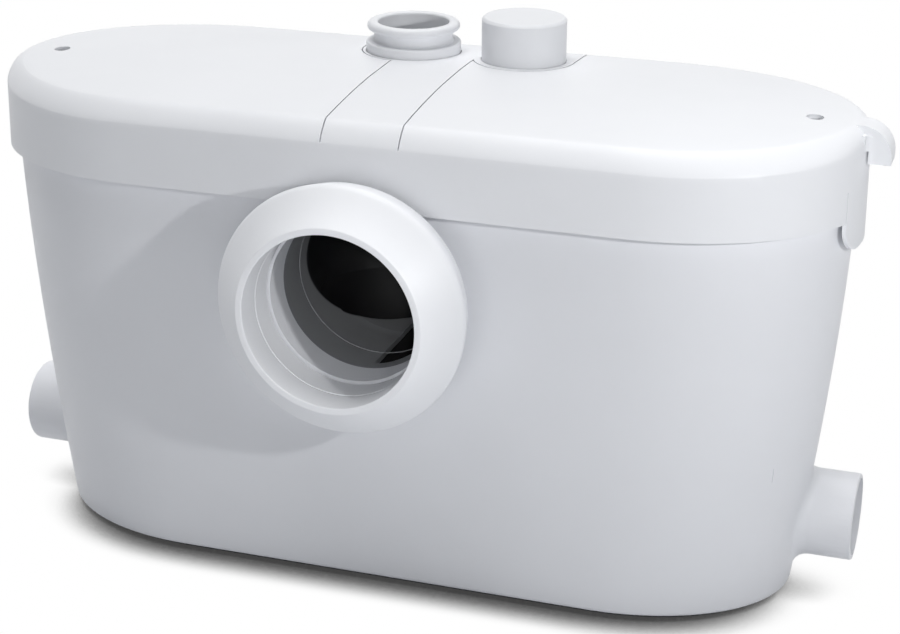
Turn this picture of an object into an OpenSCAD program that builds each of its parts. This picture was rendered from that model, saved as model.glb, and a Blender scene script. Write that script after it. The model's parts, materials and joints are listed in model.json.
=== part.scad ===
// Macerator pump for a toilet: tank, lid with two covers, pan sleeve, grinder, pump and switch.
// Millimetres. Z is up, X is along the tank, Y points to the wall behind it. The floor is Z = 0.

/* [Tank] */
// Length of the tank at its bottom edge
tank_length = 450; // [440:1:456]
// Width of the tank at its bottom edge
tank_width = 148; // [144:1:152]
// Height of the rim above the neck of the pan inlet
rim_over = 3; // [2:0.5:5]
// Length of the rounded end, bottom edge
tank_end = 102; // [90:1:108]
// Thickness of the tank wall and its bottom
wall = 3; // [2.5:0.1:3.5]
// Thickness of the rubber mat under the tank
mat_h = 3; // [2:0.5:4]
// Distance of the mat inside the bottom edge
mat_inset = 6; // [4:1:10]
// Bulge of the tank's ends, where 1 is straight
end_bulge = 1.6; // [1:0.1:2]

/* [Lid] */
// Length of the lid at its lower edge
lid_length = 502; // [500:1:508]
// Width of the lid at its lower edge
lid_width = 184; // [183:1:188]
// Distance of the tank's rim inside the lid's lower edge, at the ends
lid_over_end = 5; // [5:0.1:7]
// Distance of the tank's rim inside the lid's lower edge, at the sides
lid_over_side = 5.5; // [5.5:0.1:7]
// Length of the rounded end of the lid
lid_end = 110; // [100:1:115]
// Overlap of the lid over the tank's rim
lid_lap = 12.5; // [11:0.5:14]
// Height of the lid's crest above the tank's rim
lid_rise = 42; // [41:0.5:44]
// Inward lean of the skirt from its lower edge to the rounding
skirt_lean = 0.5; // [0:0.5:2]
// Depth below the crest at which the rounding of the top edge begins
round_drop = 15; // [14:0.5:16]
// Radius of the rounded top edge
edge_round = 10; // [9:0.5:11]
// Fall of the top from the middle to the cover screws
crown_long = 5; // [3:0.5:6]
// Fall of the top from its crest to the front edge
crown_across = 6.5; // [5:0.5:7]
// Position of the crest behind the middle line
crest_y = 18; // [14:1:22]
// Thickness of the lid skirt
skirt_t = 4; // [3.5:0.1:4.2]
// Thickness of the lid under the covers
deck_t = 3.7; // [3.5:0.1:4]
// Width of the snap tongue at the right end
tongue_w = 60; // [56:1:62]
// Length of the snap tongue below the lid's edge
tongue_drop = 17.5; // [15:0.5:19]
// Height of the slit beside the snap tongue
slit_h = 18; // [14:1:20]
// Width of that slit
slit_w = 0.8; // [0.6:0.1:1.2]

/* [Covers] */
// Thickness of the two covers
cover_t = 2.5; // [2.2:0.1:2.7]
// Depth of the covers' lower edge below the crest
cover_drop = 20; // [19:0.5:22]
// Gap under a cover
cover_gap = 0.3; // [0.2:0.1:0.4]
// Width of the seam between the covers and the middle strip
seam = 0.8; // [0.6:0.1:1.2]
// Left side of the middle strip
strip_left = -25; // [-27:0.5:-23]
// Right side of the middle strip
strip_right = 18; // [16:0.5:20]
// Distance of a cover screw from the lid's end
screw_in = 29.6; // [28.6:0.1:33]
// Cover screws in front of the middle line
screw_y = -5.6; // [-8:0.2:-2]
// Radius of the well for a cover screw
well_r = 4.7; // [4.5:0.1:5]
// Radius of an access opening under a cover
access_r = 58; // [54:1:60]

/* [Cable hood] */
// Radius of the rounded hood
hood_r = 16.5; // [15:0.5:17]
// Half width of the hood
hood_half = 9; // [8:0.5:10]
// Flare of the hood at its root
hood_flare = 5; // [4:0.5:6]
// Lower edge of the hood below the covers' lower edge
hood_below = 7.3; // [6:0.1:8]
// Cable radius the gland is made for
cable_r = 3.2; // [3:0.1:3.4]

/* [Pan inlet] */
// Inlet axis left of the middle
inlet_x = -7.3; // [-9:0.1:-5]
// Height of the inlet axis above the floor
inlet_z = 181; // [180:0.5:182]
// Mouth of the sleeve in front of the middle line
mouth_y = -131.6; // [-133:0.2:-130]
// Bore of the sleeve
mouth_r = 48.3; // [47:0.1:48.5]
// Outer radius at the mouth
mouth_out_r = 52.6; // [52:0.1:53.5]
// Outer radius of the flange
flange_r = 70.6; // [69:0.1:72]
// Length of the cone from the mouth to the flange
cone_len = 18; // [17:0.1:20]
// Length of the band behind the flange's edge
band_len = 16.6; // [15:0.1:17]
// Taper of that band's radius towards the back
band_fall = 4; // [3:0.1:5]
// Outer radius of the tank's neck
neck_r = 60; // [59:0.5:61]
// Radius of the sleeve's shank in the neck
shank_r = 56; // [55:0.5:56.5]
// Depth of the shank in the neck
shank_in = 8.5; // [7:0.5:9]
// Front end of the neck
neck_y = -104; // [-105:0.5:-103]
// Inner end of the neck, inside the front wall at its lowest point
neck_stand = 1.1; // [0.6:0.1:2]
// Gap between the sleeve's inner end and its stop in the neck
stop_gap = 1.5; // [0.5:0.1:2.5]
// Height of that stop above the sleeve's bore
stop_step = 1.3; // [1:0.1:2]

/* [Side inlets] */
// Side inlet's end beyond the tank's bottom edge
spigot_out = 34.3; // [32:0.1:36]
// Axis of the side inlets behind the middle line
spigot_y = 13.8; // [12:0.2:16]
// Height of the side inlets' axis
spigot_z = 42.3; // [41:0.1:44]
// Outer radius of a side inlet
spigot_r = 25; // [24:0.1:25.5]
// Wall of a side inlet
spigot_wall = 2.5; // [2:0.1:3]
// Inner end of a side inlet, the seat of its flap, inside the tank's bottom edge
seat_in = 20; // [18:0.5:22]
// Thickness of the flaps
flap_t = 3; // [2.5:0.1:3.5]

/* [Outlet and vent] */
// Outlet left of the middle
outlet_x = -22; // [-23:0.5:-20]
// Gap between the check valve under the outlet and the tank's back wall
valve_gap = 1; // [0.5:0.1:2]
// Bore of the outlet collar
outlet_r = 20.7; // [20:0.1:21]
// Radius of the collar's neck
collar_neck_r = 23; // [22.5:0.1:23.5]
// Radius of the collar's rounded rim
collar_rim_r = 27; // [26.5:0.1:27.5]
// Radius of the collar's base ring
collar_base_r = 27.7; // [27:0.1:28]
// Height of the collar above its seat
collar_h = 20; // [19:0.5:21]
// Vent cap right of the middle
vent_x = 45.2; // [44:0.1:47]
// Vent cap in front of the outlet
vent_ahead = 0.5; // [0:0.1:1]
// Radius of the vent cap
vent_r = 24.4; // [23.5:0.1:25]
// Height of the vent cap
vent_h = 26; // [24:0.5:28]
// Radius of the carbon filter
filter_r = 13.9; // [13:0.1:14]

/* [Grinder and pump] */
// Motor axis left of the middle
motor_x = -110; // [-111:0.5:-109]
// Radius of the grinder basket and the pump
basket_r = 50; // [48:0.5:51]
// Radius of the motor housing
motor_r = 52; // [50:0.5:52]
// Shaft radius
shaft_r = 5; // [4:0.1:6]
// Running clearance on the radius
run_fit = 0.05; // [0.02:0.01:0.1]
// Impeller radius
impeller_r = 40; // [36:1:42]
// Number of impeller vanes
vanes = 6; // [4:1:8]
// Reach of a grinder blade
blade_reach = 42; // [36:1:43]
// Bore of the delivery pipe
pipe_r = 11; // [10:0.5:11]
// Wall of the delivery pipe
pipe_wall = 3; // [2.5:0.1:3]

/* [Level switch] */
// Level switch inside the right end of the tank's bottom edge
switch_in = 105; // [101:1:109]
// Inner radius of the air tube
air_r = 19; // [17:0.5:20]
// Height of the tray for the electric parts
tray_z = 190; // [188:1:192]
// Stroke of the switch plunger
stroke = 2; // [1:0.5:2.5]

/* [Hidden] */
$fn = 64;
// Slack of a push fit, on the radius
slip = 0.1;
// Slack of a press fit, on the radius
press_fit = 0.02;
// Slack of a pin in its hole, on the radius
pin_fit = 0.05;
// Points along one rounded end
end_n = 24;
// Steps up the bulging ends of the tank
bulge_n = 8;
// Distance a cut runs past a face
past = 1;
// A length greater than the whole part
far = 700;

// Heights of the tank and the lid
rim_z = inlet_z + neck_r + rim_over;
floor_z = mat_h + wall;
end_grow = 6;
rim_end = tank_end + end_grow;
rim_length = lid_length - 2 * lid_over_end;
rim_width = lid_width - 2 * lid_over_side;
lid_edge_z = rim_z - lid_lap;
lid_top_z = rim_z + lid_rise;
lid_low_z = lid_edge_z - 2 * tongue_drop;
round_z = lid_top_z - round_drop;
cover_edge_z = lid_top_z - cover_drop;
gasket_h = 3;
gasket_in = 0.3;
rib_z = rim_z + gasket_h;
rib_h = 8;
rib_sink = 4;
step_z = rib_z + rib_h;
// Rings of the lid's top surface, inside its edge
top_in = 40;
top_mid = 76;
tongue_round = 14;
tongue_reach = 40;

// Cover screws and their wells
screw_x = lid_length / 2 - screw_in;
crown_in = 12;
front_run = lid_width / 2 + crest_y - crown_in;
screw_r = 2.5;
screw_gap = 0.2;
screw_len = 16;
head_r = 4.4;
head_h = 3;
slot_len = 5.2;
slot_w = 1;
slot_depth = 1.4;
well_floor = 1.5;
well_wall = 2.5;
well_depth = 7;
well_h = 6;
well_z = crest_z(screw_x, screw_y) - well_depth;
pocket_r = well_r + well_wall;
boss_sink = 3;
boss_lap = 2;
access_shift = 10;

// Hood and cable gland
hood_set = 4;
hood_drop = 7;
hood_in = 20;
hood_root = 12;
hood_lap = 1;
hood_gap = 0.3;
hood_face = lid_length / 2 - skirt_lean / 2 + hood_gap;
hood_x = lid_length / 2 - skirt_lean - hood_set;
hood_mid_z = lid_top_z - hood_drop - hood_r;
hood_z = cover_edge_z - hood_below;
gland_drop = 18.5;
gland_z = lid_top_z - gland_drop;
gland_flange = 2;
gland_wall = 1.2;
gland_in = 3;
gland_r = cable_r + gland_flange;
gland_x = lid_length / 2 - cover_t - cover_gap
  - skirt_lean * (gland_z - gland_r - lid_edge_z) / (round_z - lid_edge_z);

// Pan inlet and the duct behind it
shank_y = neck_y + shank_in;
flange_y = mouth_y + cone_len + band_len;
lip = 1;
flange_t = 3;
throat = 8;
neck_in_y = neck_stand - side_y(inlet_z - neck_r);
notch_gap = 3;
notch_r = neck_r + notch_gap;
duct_y = -26;
duct_r = mouth_r - stop_step;
duct_wall = 3;
duct_flange = 4;
duct_edge = 1;
bend_grow = 0.6;
drop_step = 4;
drop_gap = 2;
drop_r = min(duct_r - drop_step, tank_width / 2 + duct_y - drop_gap - duct_wall);
drop_z = 56;
shelf_z = inlet_z - duct_r - duct_wall;
shelf_end = 5.7;
shelf_side = 3.3;
duct_foot_r = 9;
spout_half = 28;
spout_z0 = 66;
spout_z1 = 104;
spout_lap = 2;
spout_in = 1;
basket_gap = 1;

// Side inlets and their flaps
spigot_x = tank_length / 2 + spigot_out;
seat_x = tank_length / 2 - seat_in;
flare_in = 11;
flare_len = 22;
flare_r = 9;
pin_r = 1.5;
flap_pin_len = 32;
flap_pin_up = 3.5;
flap_pin_in = 1.5;
flap_pin_z = spigot_z + spigot_r + flap_pin_up;
flap_pin_x = seat_x - flap_pin_in;
flap_lap = 1.5;
flap_r = spigot_r - flap_lap;
flap_arm = 16;
barrel_r = 3;
barrel_len = 21;
ear_y = 13;
ear_t = 4;
ear_foot = 12;
ear_sink = 6;
ear_top = 4;
ear_under = 3.5;
ear_z = spigot_z + spigot_r - ear_sink;

// Check valve under the outlet
valve_z = 118;
valve_plate = 4;
valve_r = 22;
valve_wall = 3;
valve_h = 47;
valve_top_z = valve_z + valve_h;

// Outlet collar and vent cap
outlet_y = side_y(valve_z) - valve_r - valve_wall - valve_gap;
outlet_sink = 5;
outlet_seat_z = lid_top_z - outlet_sink;
collar_in = 11;
collar_base_h = 8.5;
collar_margin = 2;
rim_grow = 0.6;
vent_y = outlet_y - vent_ahead;
vent_sink = 3.5;
vent_seat_z = lid_top_z - vent_sink;
vent_margin = 4.6;
vent_wall = 3;
vent_neck_r = filter_r + slip + vent_wall;
vent_neck_h = 14;
neck_sink = 5;
cap_wall = 2.2;
cap_edge = 1.5;
cap_top = 2.4;
pad_drop = 8;
pad_h = 5;
pad_rim = 1;
seat_gap = 0.5;
filter_lift = 1;
filter_h = 11;
filter_ledge = 3;

// Pump and grinder, from the floor of the tank up
pump_z = floor_z;
pump_h = 34;
pump_wall = 4;
pump_floor = 3;
pump_top_z = pump_z + pump_h;
pump_lid_t = 4;
eye_r = 24;
impeller_lift = 10;
impeller_z = pump_z + impeller_lift;
disc_t = 3;
hub_wall = 5;
hub_h = 18;
vane_t = 2.5;
vane_h = 15;
vane_off = 4;
vane_in = 3;
basket_z = pump_top_z + pump_lid_t;
basket_h = 72;
basket_top_z = basket_z + basket_h;
basket_wall = 3;
basket_eye = 12;
drain_r = 3.5;
drain_ring = 20;
mesh_w = 5;
mesh_h = 54;
mesh_z = 8;
mesh_in = 10;
blade_lift = 6;
blade_hub = 14;
blade_w = 10;
blade_t = 4;
blade_z = 2;
cross_w = 8;
cross_t = 3;
cross_z = 8;
cross_cut = 6;
hammer_h = 16;
hammer_t = 5;
hammer_in = 6;

// Motor, from the seal plate up
plate_t = 5;
seal_r = 14;
motor_z = basket_top_z + plate_t;
motor_wall = 4;
motor_floor = 4;
motor_eye = 12;
bearing_r = 16;
bearing_h = 9;
bearing_gap = 0.5;
bearing_wall = 4;
winding_r = 42;
winding_in = 30;
winding_h = 12;
winding_gap = 4;
stator_len = 55;
stator_ledge = 4;
end_gap = 2;
stator_z0 = motor_z + motor_floor + bearing_h + winding_h + winding_gap;
stator_z1 = stator_z0 + stator_len;
motor_top_z = stator_z1 + winding_h + end_gap + bearing_h;
stator_r = motor_r - motor_wall - slip;
end_cap_t = 5;
motor_screw_r = 1.25;
motor_screw_len = 13;
motor_screw_in = 10;
motor_head_r = 2;
motor_head_h = 2.5;
motor_screw_ring = motor_r - motor_wall / 2;
rotor_r = 26;
rotor_gap = 1;
core_r = 8;
shaft_lip = 3;
shaft_end = 1;
shoulder_h = 4;
shoulder_w = 3;

// Delivery pipe, and the flap in the check valve
pipe_up = 18;
pipe_z = floor_z + pipe_up;
pipe_out = pipe_r + pipe_wall;
pipe_foot_r = 8;
pipe_foot_h = 10;
socket_r = pipe_out + slip;
socket_len = 14;
outlet_lane = 32;
pipe_turn = atan2(outlet_y - outlet_lane, outlet_x - motor_x);
pipe_run = norm([outlet_x - motor_x, outlet_y - outlet_lane]);
pump_out_len = 62;
valve_arm = 18.5;
valve_pin_up = 3;
valve_pin_z = valve_z + valve_plate + valve_pin_up;
valve_pin_len = 20;
lug_y = 8;
lug_t = 4;
lug_w = 5;
lug_h = 7;
check_r = 15;
check_arm = 8;
check_lift = 0.4;
check_barrel_r = 2.6;
check_barrel_len = 11;
riser_step = 1;
riser_r = outlet_r - riser_step;
riser_flange = 3;
riser_top_z = outlet_seat_z - collar_in;

// Tray with the electric parts, and the level switch on it
switch_x = tank_length / 2 - switch_in;
tray_t = 4;
tray_edge = 8;
tray_top = tray_z + tray_t;
post_r = 6;
post_left = 38;
post_right = 58;
post_y = 46;
posts = [for (x = [switch_x - post_left, switch_x + post_right]) for (y = [-post_y, post_y]) [x, y]];
tray_screw_len = 14;
tray_head_r = 3.2;
tray_head_h = 2.5;
air_wall = 3;
air_lip = 7;
air_gap = 8;
air_flange = 3;
switch_z = tray_top + air_flange;
switch_r = 26;
switch_h = 24;
switch_wall = 3;
switch_floor = 7;
switch_port = 6;
switch_cap_t = 3;
diaphragm_t = 1.5;
plunger_r = 3;
plunger_disc = 12;
plunger_disc_t = 2.5;
plunger_out = 4;
plunger_z = switch_floor + diaphragm_t;
micro_gap = 1;
micro_size = [28, 14, 18];
capacitor_x = switch_x + 45;
capacitor_y = 30;
capacitor_r = 15;
capacitor_h = 52;
stud_r = 12;
stud_h = 4;
block_x = switch_x + 30;
block_y = -40;
block_size = [32, 18, 15];
block_step = 10;
block_in = 6;
block_floor = 5;
block_hole = 2.4;
block_wire = 1.8;

// Height of the lid's top surface at a place
function crest_z(x, y) = lid_top_z - crown_long * pow(x / screw_x, 2)
  - crown_across * pow((y - crest_y) / front_run, 2);

// Share of the tank's height from its bottom edge
function up_share(z) = (z - mat_h) / (rim_z - mat_h);

// Half width of the tank outside, at a height
function half_width(z) = (tank_width + up_share(z) * (rim_width - tank_width)) / 2;

// Share of the tank's growth in length that is reached at a height
function end_share(z) = 1 - pow(max(0, 1 - up_share(z)), end_bulge);

// Half length of the tank outside, at a height
function half_length(z) = (tank_length + end_share(z) * (rim_length - tank_length)) / 2;

// Inside of the tank's long walls, at a height
function side_y(z) = half_width(z) - wall;

// Closed outline with straight sides and elliptical ends, half length hl, half width hw, end length ax
function outline(hl, hw, ax) = concat(
  [for (i = [0 : end_n]) let (a = -90 + 180 * i / end_n) [hl - ax + ax * cos(a), hw * sin(a)]],
  [for (i = [0 : end_n]) let (a = 90 + 180 * i / end_n) [ax - hl + ax * cos(a), hw * sin(a)]]);

function flat_ring(hl, hw, ax, z) = [for (p = outline(hl, hw, ax)) [p.x, p.y, z]];

// Tank outline at a height, moved in by d
function tank_ring(z, d) =
  flat_ring(half_length(z) - d, half_width(z) - d, tank_end + end_grow * up_share(z) - d, z);

// Rim outline at a height, moved in by d
function rim_ring(z, d) = flat_ring(rim_length / 2 - d, rim_width / 2 - d, rim_end - d, z);

// Lid outline at a height, moved in by d
function lid_ring(z, d) = let (k = skirt_lean * (z - lid_edge_z) / (round_z - lid_edge_z) + d)
  flat_ring(lid_length / 2 - k, lid_width / 2 - k, lid_end - k, z);

// Ring on the rounded top edge, f degrees up the rounding, moved in by d
function round_ring(f, d) = let (r = edge_round - d, k = skirt_lean + d + r * (1 - cos(f)))
  [for (p = outline(lid_length / 2 - k, lid_width / 2 - k, lid_end - k))
    [p.x, p.y, crest_z(p.x, p.y) - d - r + r * sin(f)]];

// Ring on the top surface, t inside the edge, moved down by d
function top_ring(t, d) = let (k = skirt_lean + t)
  [for (p = outline(lid_length / 2 - k, lid_width / 2 - k, lid_end - k)) [p.x, p.y, crest_z(p.x, p.y) - d]];

// Rings of the lid's form, moved in by d above step_z and by low below it
function lid_rings(d, low) = concat(
  low == d ? [lid_ring(lid_low_z, d)]
    : [lid_ring(lid_low_z, low), lid_ring(step_z, low), lid_ring(step_z, d)],
  [for (f = [0 : 22.5 : 90]) round_ring(f, d)],
  [top_ring(top_in, d), top_ring(top_mid, d)]);

// Faces between two rings, m points each
function side_faces(k, m) = [for (i = [0 : m - 1]) let (j = (i + 1) % m, a = k * m, b = a + m)
  each [[a + i, b + i, b + j], [a + i, b + j, a + j]]];

// Faces that close the last ring, column by column
function top_faces(b, n) = concat(
  [[b + 2 * n + 1, b + n + 1, b + n], [b + 2 * n + 1, b + n, b]],
  [for (s = [0, n + 1]) for (i = [0 : n / 2 - 1]) [b + s + i, b + s + n - i, b + s + n - i - 1]],
  [for (s = [0, n + 1]) for (i = [0 : n / 2 - 2]) [b + s + i, b + s + n - i - 1, b + s + i + 1]]);

// Solid through a list of rings
module skin(rings) {
  m = len(rings[0]);
  polyhedron(
    points = [for (r = rings) each r],
    faces = concat(
      [[for (i = [0 : m - 1]) i]],
      [for (k = [0 : len(rings) - 2]) each side_faces(k, m)],
      top_faces((len(rings) - 1) * m, end_n)));
}

module lid_form(d, low) {
  skin(lid_rings(d, low));
}

module tank_form(z0, z1, d) {
  skin([for (i = [0 : bulge_n]) tank_ring(z0 + (z1 - z0) * i / bulge_n, d)]);
}

// Band along the rim from z0 to z1, from d0 to d1 inside the rim
module rim_band(z0, z1, d0, d1) {
  difference() {
    skin([rim_ring(z0, d0), rim_ring(z1, d0)]);
    skin([rim_ring(z0 - past, d1), rim_ring(z1 + past, d1)]);
  }
}

module along_x(x, y, z) {
  translate([x, y, z]) rotate([0, 90, 0]) children();
}

module along_y(x, y, z) {
  translate([x, y, z]) rotate([-90, 0, 0]) children();
}

module pipe(r_out, r_in, h) {
  difference() {
    cylinder(r = r_out, h = h);
    translate([0, 0, -past]) cylinder(r = r_in, h = h + 2 * past);
  }
}

// Puts a piece drawn for the right side inlet on side s, 1 right or -1 left
module on_side(s) {
  translate([0, spigot_y, 0]) rotate([0, 0, s > 0 ? 0 : 180]) children();
}

// Plan of the middle strip, grown by g
module strip_plan(g) {
  translate([strip_left - g, -far / 2])
    square([strip_right - strip_left + 2 * g, far / 2 + outlet_y + past]);
  translate([outlet_x, outlet_y]) circle(r = collar_base_r + collar_margin + g);
  translate([vent_x, vent_y]) circle(r = vent_r + vent_margin + g);
  translate([outlet_x - collar_base_r - collar_margin - g, outlet_y])
    square([vent_x - outlet_x + collar_base_r + collar_margin + vent_r + vent_margin + 2 * g, far / 2]);
}

// Space that both covers take, above a height and outside the strip
module cover_space(z, g) {
  difference() {
    translate([-far / 2, -far / 2, z]) cube(far);
    translate([0, 0, z - past]) linear_extrude(height = far + 2 * past) strip_plan(g);
  }
}

// Quarter-round bar of radius r and half width h, down to height z
module hood_bar(r, h, z) {
  along_y(hood_x, -h, hood_mid_z) cylinder(r = r, h = 2 * h);
  translate([hood_x - hood_in, -h, z]) cube([hood_in + r, 2 * h, hood_mid_z - z]);
  translate([hood_x - hood_in, -h, z]) cube([hood_in, 2 * h, hood_mid_z + r - z]);
}

// Hollow-sided foot of the hood where it leaves the cover
module hood_foot() {
  side = hood_half + hood_flare;
  front = lid_length / 2 - skirt_lean - lid_end * (1 - sqrt(1 - pow(2 * side / lid_width, 2)));
  intersection() {
    hood_bar(hood_r - hood_flare + hood_lap, side, hood_z);
    translate([0, 0, hood_z]) linear_extrude(height = far) difference() {
      translate([hood_x - hood_root, -side]) square([far, 2 * side]);
      for (s = [-1, 1])
        translate([front + hood_flare, s * side]) circle(r = hood_flare);
      for (s = [-1, 1])
        translate([front + hood_flare, s * side - hood_flare]) square([far, 2 * hood_flare]);
    }
  }
}

// Snap tongue of the right end, g wider on each side
module tongue_form(g) {
  translate([lid_length / 2 - tongue_reach, 0, lid_edge_z - tongue_drop]) {
    translate([0, -tongue_w / 2 - g, tongue_round])
      cube([2 * tongue_reach, tongue_w + 2 * g, slit_h + tongue_drop - tongue_round]);
    translate([0, -tongue_w / 2 + tongue_round, 0])
      cube([2 * tongue_reach, tongue_w - 2 * tongue_round, tongue_round + past]);
    for (t = [-1, 1])
      along_x(0, t * (tongue_w / 2 - tongue_round), tongue_round)
        cylinder(r = tongue_round, h = 2 * tongue_reach);
  }
}

module base_mat() {
  color("#2a2b2d") linear_extrude(height = mat_h)
    polygon(outline(tank_length / 2 - mat_inset, tank_width / 2 - mat_inset, tank_end - mat_inset));
}

// Ears that hold the flap pin of the right side inlet
module flap_ears() {
  for (t = [-1, 1])
    translate([0, t * ear_y - ear_t / 2, 0]) {
      translate([seat_x, 0, ear_z]) cube([ear_foot, ear_t, flap_pin_z + ear_top - ear_z]);
      translate([flap_pin_x - ear_top, 0, flap_pin_z - ear_under])
        cube([seat_x + ear_foot - flap_pin_x + ear_top, ear_t, ear_under + ear_top]);
    }
}

module tank() {
  color("#eef0f3") difference() {
    union() {
      difference() {
        union() {
          tank_form(mat_h, rim_z, 0);
          for (s = [-1, 1])
            on_side(s) along_x(tank_length / 2 - flare_in, 0, spigot_z)
              cylinder(r1 = spigot_r + flare_r, r2 = spigot_r, h = flare_len);
        }
        tank_form(floor_z, rim_z + past, wall);
      }
      for (s = [-1, 1])
        on_side(s) {
          along_x(seat_x, 0, spigot_z) cylinder(r = spigot_r, h = spigot_x - seat_x);
          flap_ears();
        }
      along_y(inlet_x, neck_y, inlet_z) cylinder(r = neck_r, h = neck_in_y - neck_y);
      for (p = posts)
        translate([p.x, p.y, floor_z - past]) cylinder(r = post_r, h = tray_z - floor_z + past);
    }
    along_x(-far / 2, spigot_y, spigot_z) cylinder(r = spigot_r - spigot_wall, h = far);
    along_y(inlet_x, neck_y - past, inlet_z) cylinder(r = shank_r + slip, h = shank_in + past);
    along_y(inlet_x, neck_y - past, inlet_z) cylinder(r = duct_r, h = neck_in_y - neck_y + 2 * past);
    for (s = [-1, 1])
      on_side(s) along_y(flap_pin_x, -flap_pin_len / 2 - past, flap_pin_z)
        cylinder(r = pin_r + pin_fit, h = flap_pin_len + 2 * past);
    for (p = posts)
      translate([p.x, p.y, tray_top - tray_screw_len - past]) cylinder(r = pin_r + pin_fit, h = far);
  }
}

module lid_gasket() {
  color("#303236") rim_band(rim_z, rib_z, gasket_in, wall);
}

module lid() {
  color("#f3f4f6") difference() {
    union() {
      difference() {
        lid_form(0, 0);
        lid_form(cover_t + cover_gap + deck_t, skirt_t);
        difference() {
          cover_space(cover_edge_z, 0);
          lid_form(cover_t + cover_gap, cover_t + cover_gap);
        }
      }
      rim_band(rib_z, step_z + rib_sink, gasket_in, wall);
      for (s = [-1, 1])
        translate([s * screw_x, screw_y, step_z + boss_sink])
          cylinder(r = pocket_r + well_wall, h = well_z + boss_lap - step_z - boss_sink);
      translate([vent_x, vent_y, vent_seat_z - neck_sink])
        cylinder(r = vent_neck_r, h = neck_sink + vent_neck_h);
      translate([vent_x, vent_y, vent_seat_z - pad_drop]) cylinder(r = vent_r + pad_rim, h = pad_h);
      translate([outlet_x, outlet_y, outlet_seat_z - pad_drop])
        cylinder(r = collar_base_r + pad_rim, h = pad_h);
    }
    difference() {
      translate([-far / 2, -far / 2, lid_edge_z - far]) cube(far);
      tongue_form(0);
    }
    difference() {
      tongue_form(slit_w);
      tongue_form(0);
      translate([-far / 2, -far / 2, lid_edge_z + slit_h - past]) cube([far, far, 2 * past]);
    }
    along_y(inlet_x, -far / 2, inlet_z)
      cylinder(r = notch_r, h = far / 2 - lid_width / 2 + skirt_lean + skirt_t);
    for (s = [-1, 1]) {
      translate([s * screw_x, screw_y, well_z]) cylinder(r = pocket_r + cover_gap, h = far);
      translate([s * screw_x, screw_y, step_z]) cylinder(r = screw_r + slip, h = far);
    }
    translate([motor_x, 0, step_z]) cylinder(r = access_r, h = far);
    translate([switch_x + access_shift, 0, step_z]) cylinder(r = access_r, h = far);
    translate([outlet_x, outlet_y, outlet_seat_z]) cylinder(r = collar_base_r + seat_gap, h = far);
    translate([outlet_x, outlet_y, step_z]) cylinder(r = collar_neck_r + slip, h = far);
    translate([vent_x, vent_y, vent_seat_z]) pipe(vent_r + seat_gap, vent_neck_r, far);
    translate([vent_x, vent_y, vent_seat_z + filter_lift]) cylinder(r = filter_r + slip, h = far);
    translate([vent_x, vent_y, step_z]) cylinder(r = filter_r - filter_ledge, h = far);
    along_x(gland_x - hood_in, 0, gland_z) cylinder(r = cable_r + gland_wall, h = far);
    along_x(gland_x, 0, gland_z) cylinder(r = gland_r + slip, h = far);
  }
}

// Cover on one side, s = 1 right or -1 left
module cover(s) {
  difference() {
    union() {
      intersection() {
        difference() {
          lid_form(0, 0);
          lid_form(cover_t, cover_t);
        }
        cover_space(cover_edge_z, seam);
        translate([s > 0 ? 0 : -far, -far / 2, 0]) cube(far);
      }
      translate([s * screw_x, screw_y, well_z + cover_gap]) cylinder(r = pocket_r, h = well_h);
    }
    translate([s * screw_x, screw_y, well_z + cover_gap + well_floor]) cylinder(r = well_r, h = far);
    translate([s * screw_x, screw_y, well_z - past]) cylinder(r = screw_r + screw_gap, h = far);
  }
}

module left_cover() {
  color("#f6f7f8") cover(-1);
}

module right_cover() {
  color("#f6f7f8") difference() {
    union() {
      cover(1);
      difference() {
        union() {
          intersection() {
            hood_bar(hood_r, hood_half, hood_z);
            translate([0, -far / 2, hood_z]) cube(far);
          }
          hood_foot();
        }
        lid_form(cover_t, cover_t);
        translate([0, -far / 2, cover_edge_z - far]) cube([hood_face, far, far]);
      }
    }
    hood_bar(hood_r - cover_t, hood_half - cover_t, hood_z - past);
  }
}

// Cover screw on one side
module cover_screw(s) {
  translate([s * screw_x, screw_y, well_z + cover_gap + well_floor]) difference() {
    union() {
      cylinder(r = head_r, h = head_h);
      translate([0, 0, -screw_len]) cylinder(r = screw_r, h = screw_len + past);
    }
    for (a = [0, 90])
      rotate([0, 0, a]) translate([-slot_len / 2, -slot_w / 2, head_h - slot_depth])
        cube([slot_len, slot_w, slot_depth + past]);
  }
}

module left_cover_screw() {
  color("#8d9196") cover_screw(-1);
}

module right_cover_screw() {
  color("#8d9196") cover_screw(1);
}

module cable_gland() {
  color("#1f2022") difference() {
    union() {
      along_x(gland_x - deck_t - gland_in, 0, gland_z)
        cylinder(r = cable_r + gland_wall - slip, h = deck_t + gland_in + gland_flange);
      along_x(gland_x + slip, 0, gland_z) cylinder(r = gland_r, h = gland_flange);
    }
    along_x(gland_x - hood_in, 0, gland_z) cylinder(r = cable_r, h = far);
  }
}

module inlet_sleeve() {
  color("#f4f5f7") along_y(inlet_x, 0, inlet_z) rotate_extrude() polygon([
    [mouth_r, mouth_y], [mouth_out_r - lip, mouth_y], [mouth_out_r, mouth_y + lip],
    [flange_r, mouth_y + cone_len], [flange_r - band_fall, flange_y],
    [flange_r - band_fall - flange_t, flange_y],
    [flange_r - flange_t, mouth_y + cone_len + lip], [shank_r, mouth_y + throat],
    [shank_r, shank_y - stop_gap], [mouth_r, shank_y - stop_gap]]);
}

// Round back of the duct where it turns down
module duct_bend(r) {
  intersection() {
    translate([inlet_x, duct_y, inlet_z]) sphere(r = r);
    translate([inlet_x - far / 2, duct_y - past, inlet_z - far / 2]) cube(far);
  }
}

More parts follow.
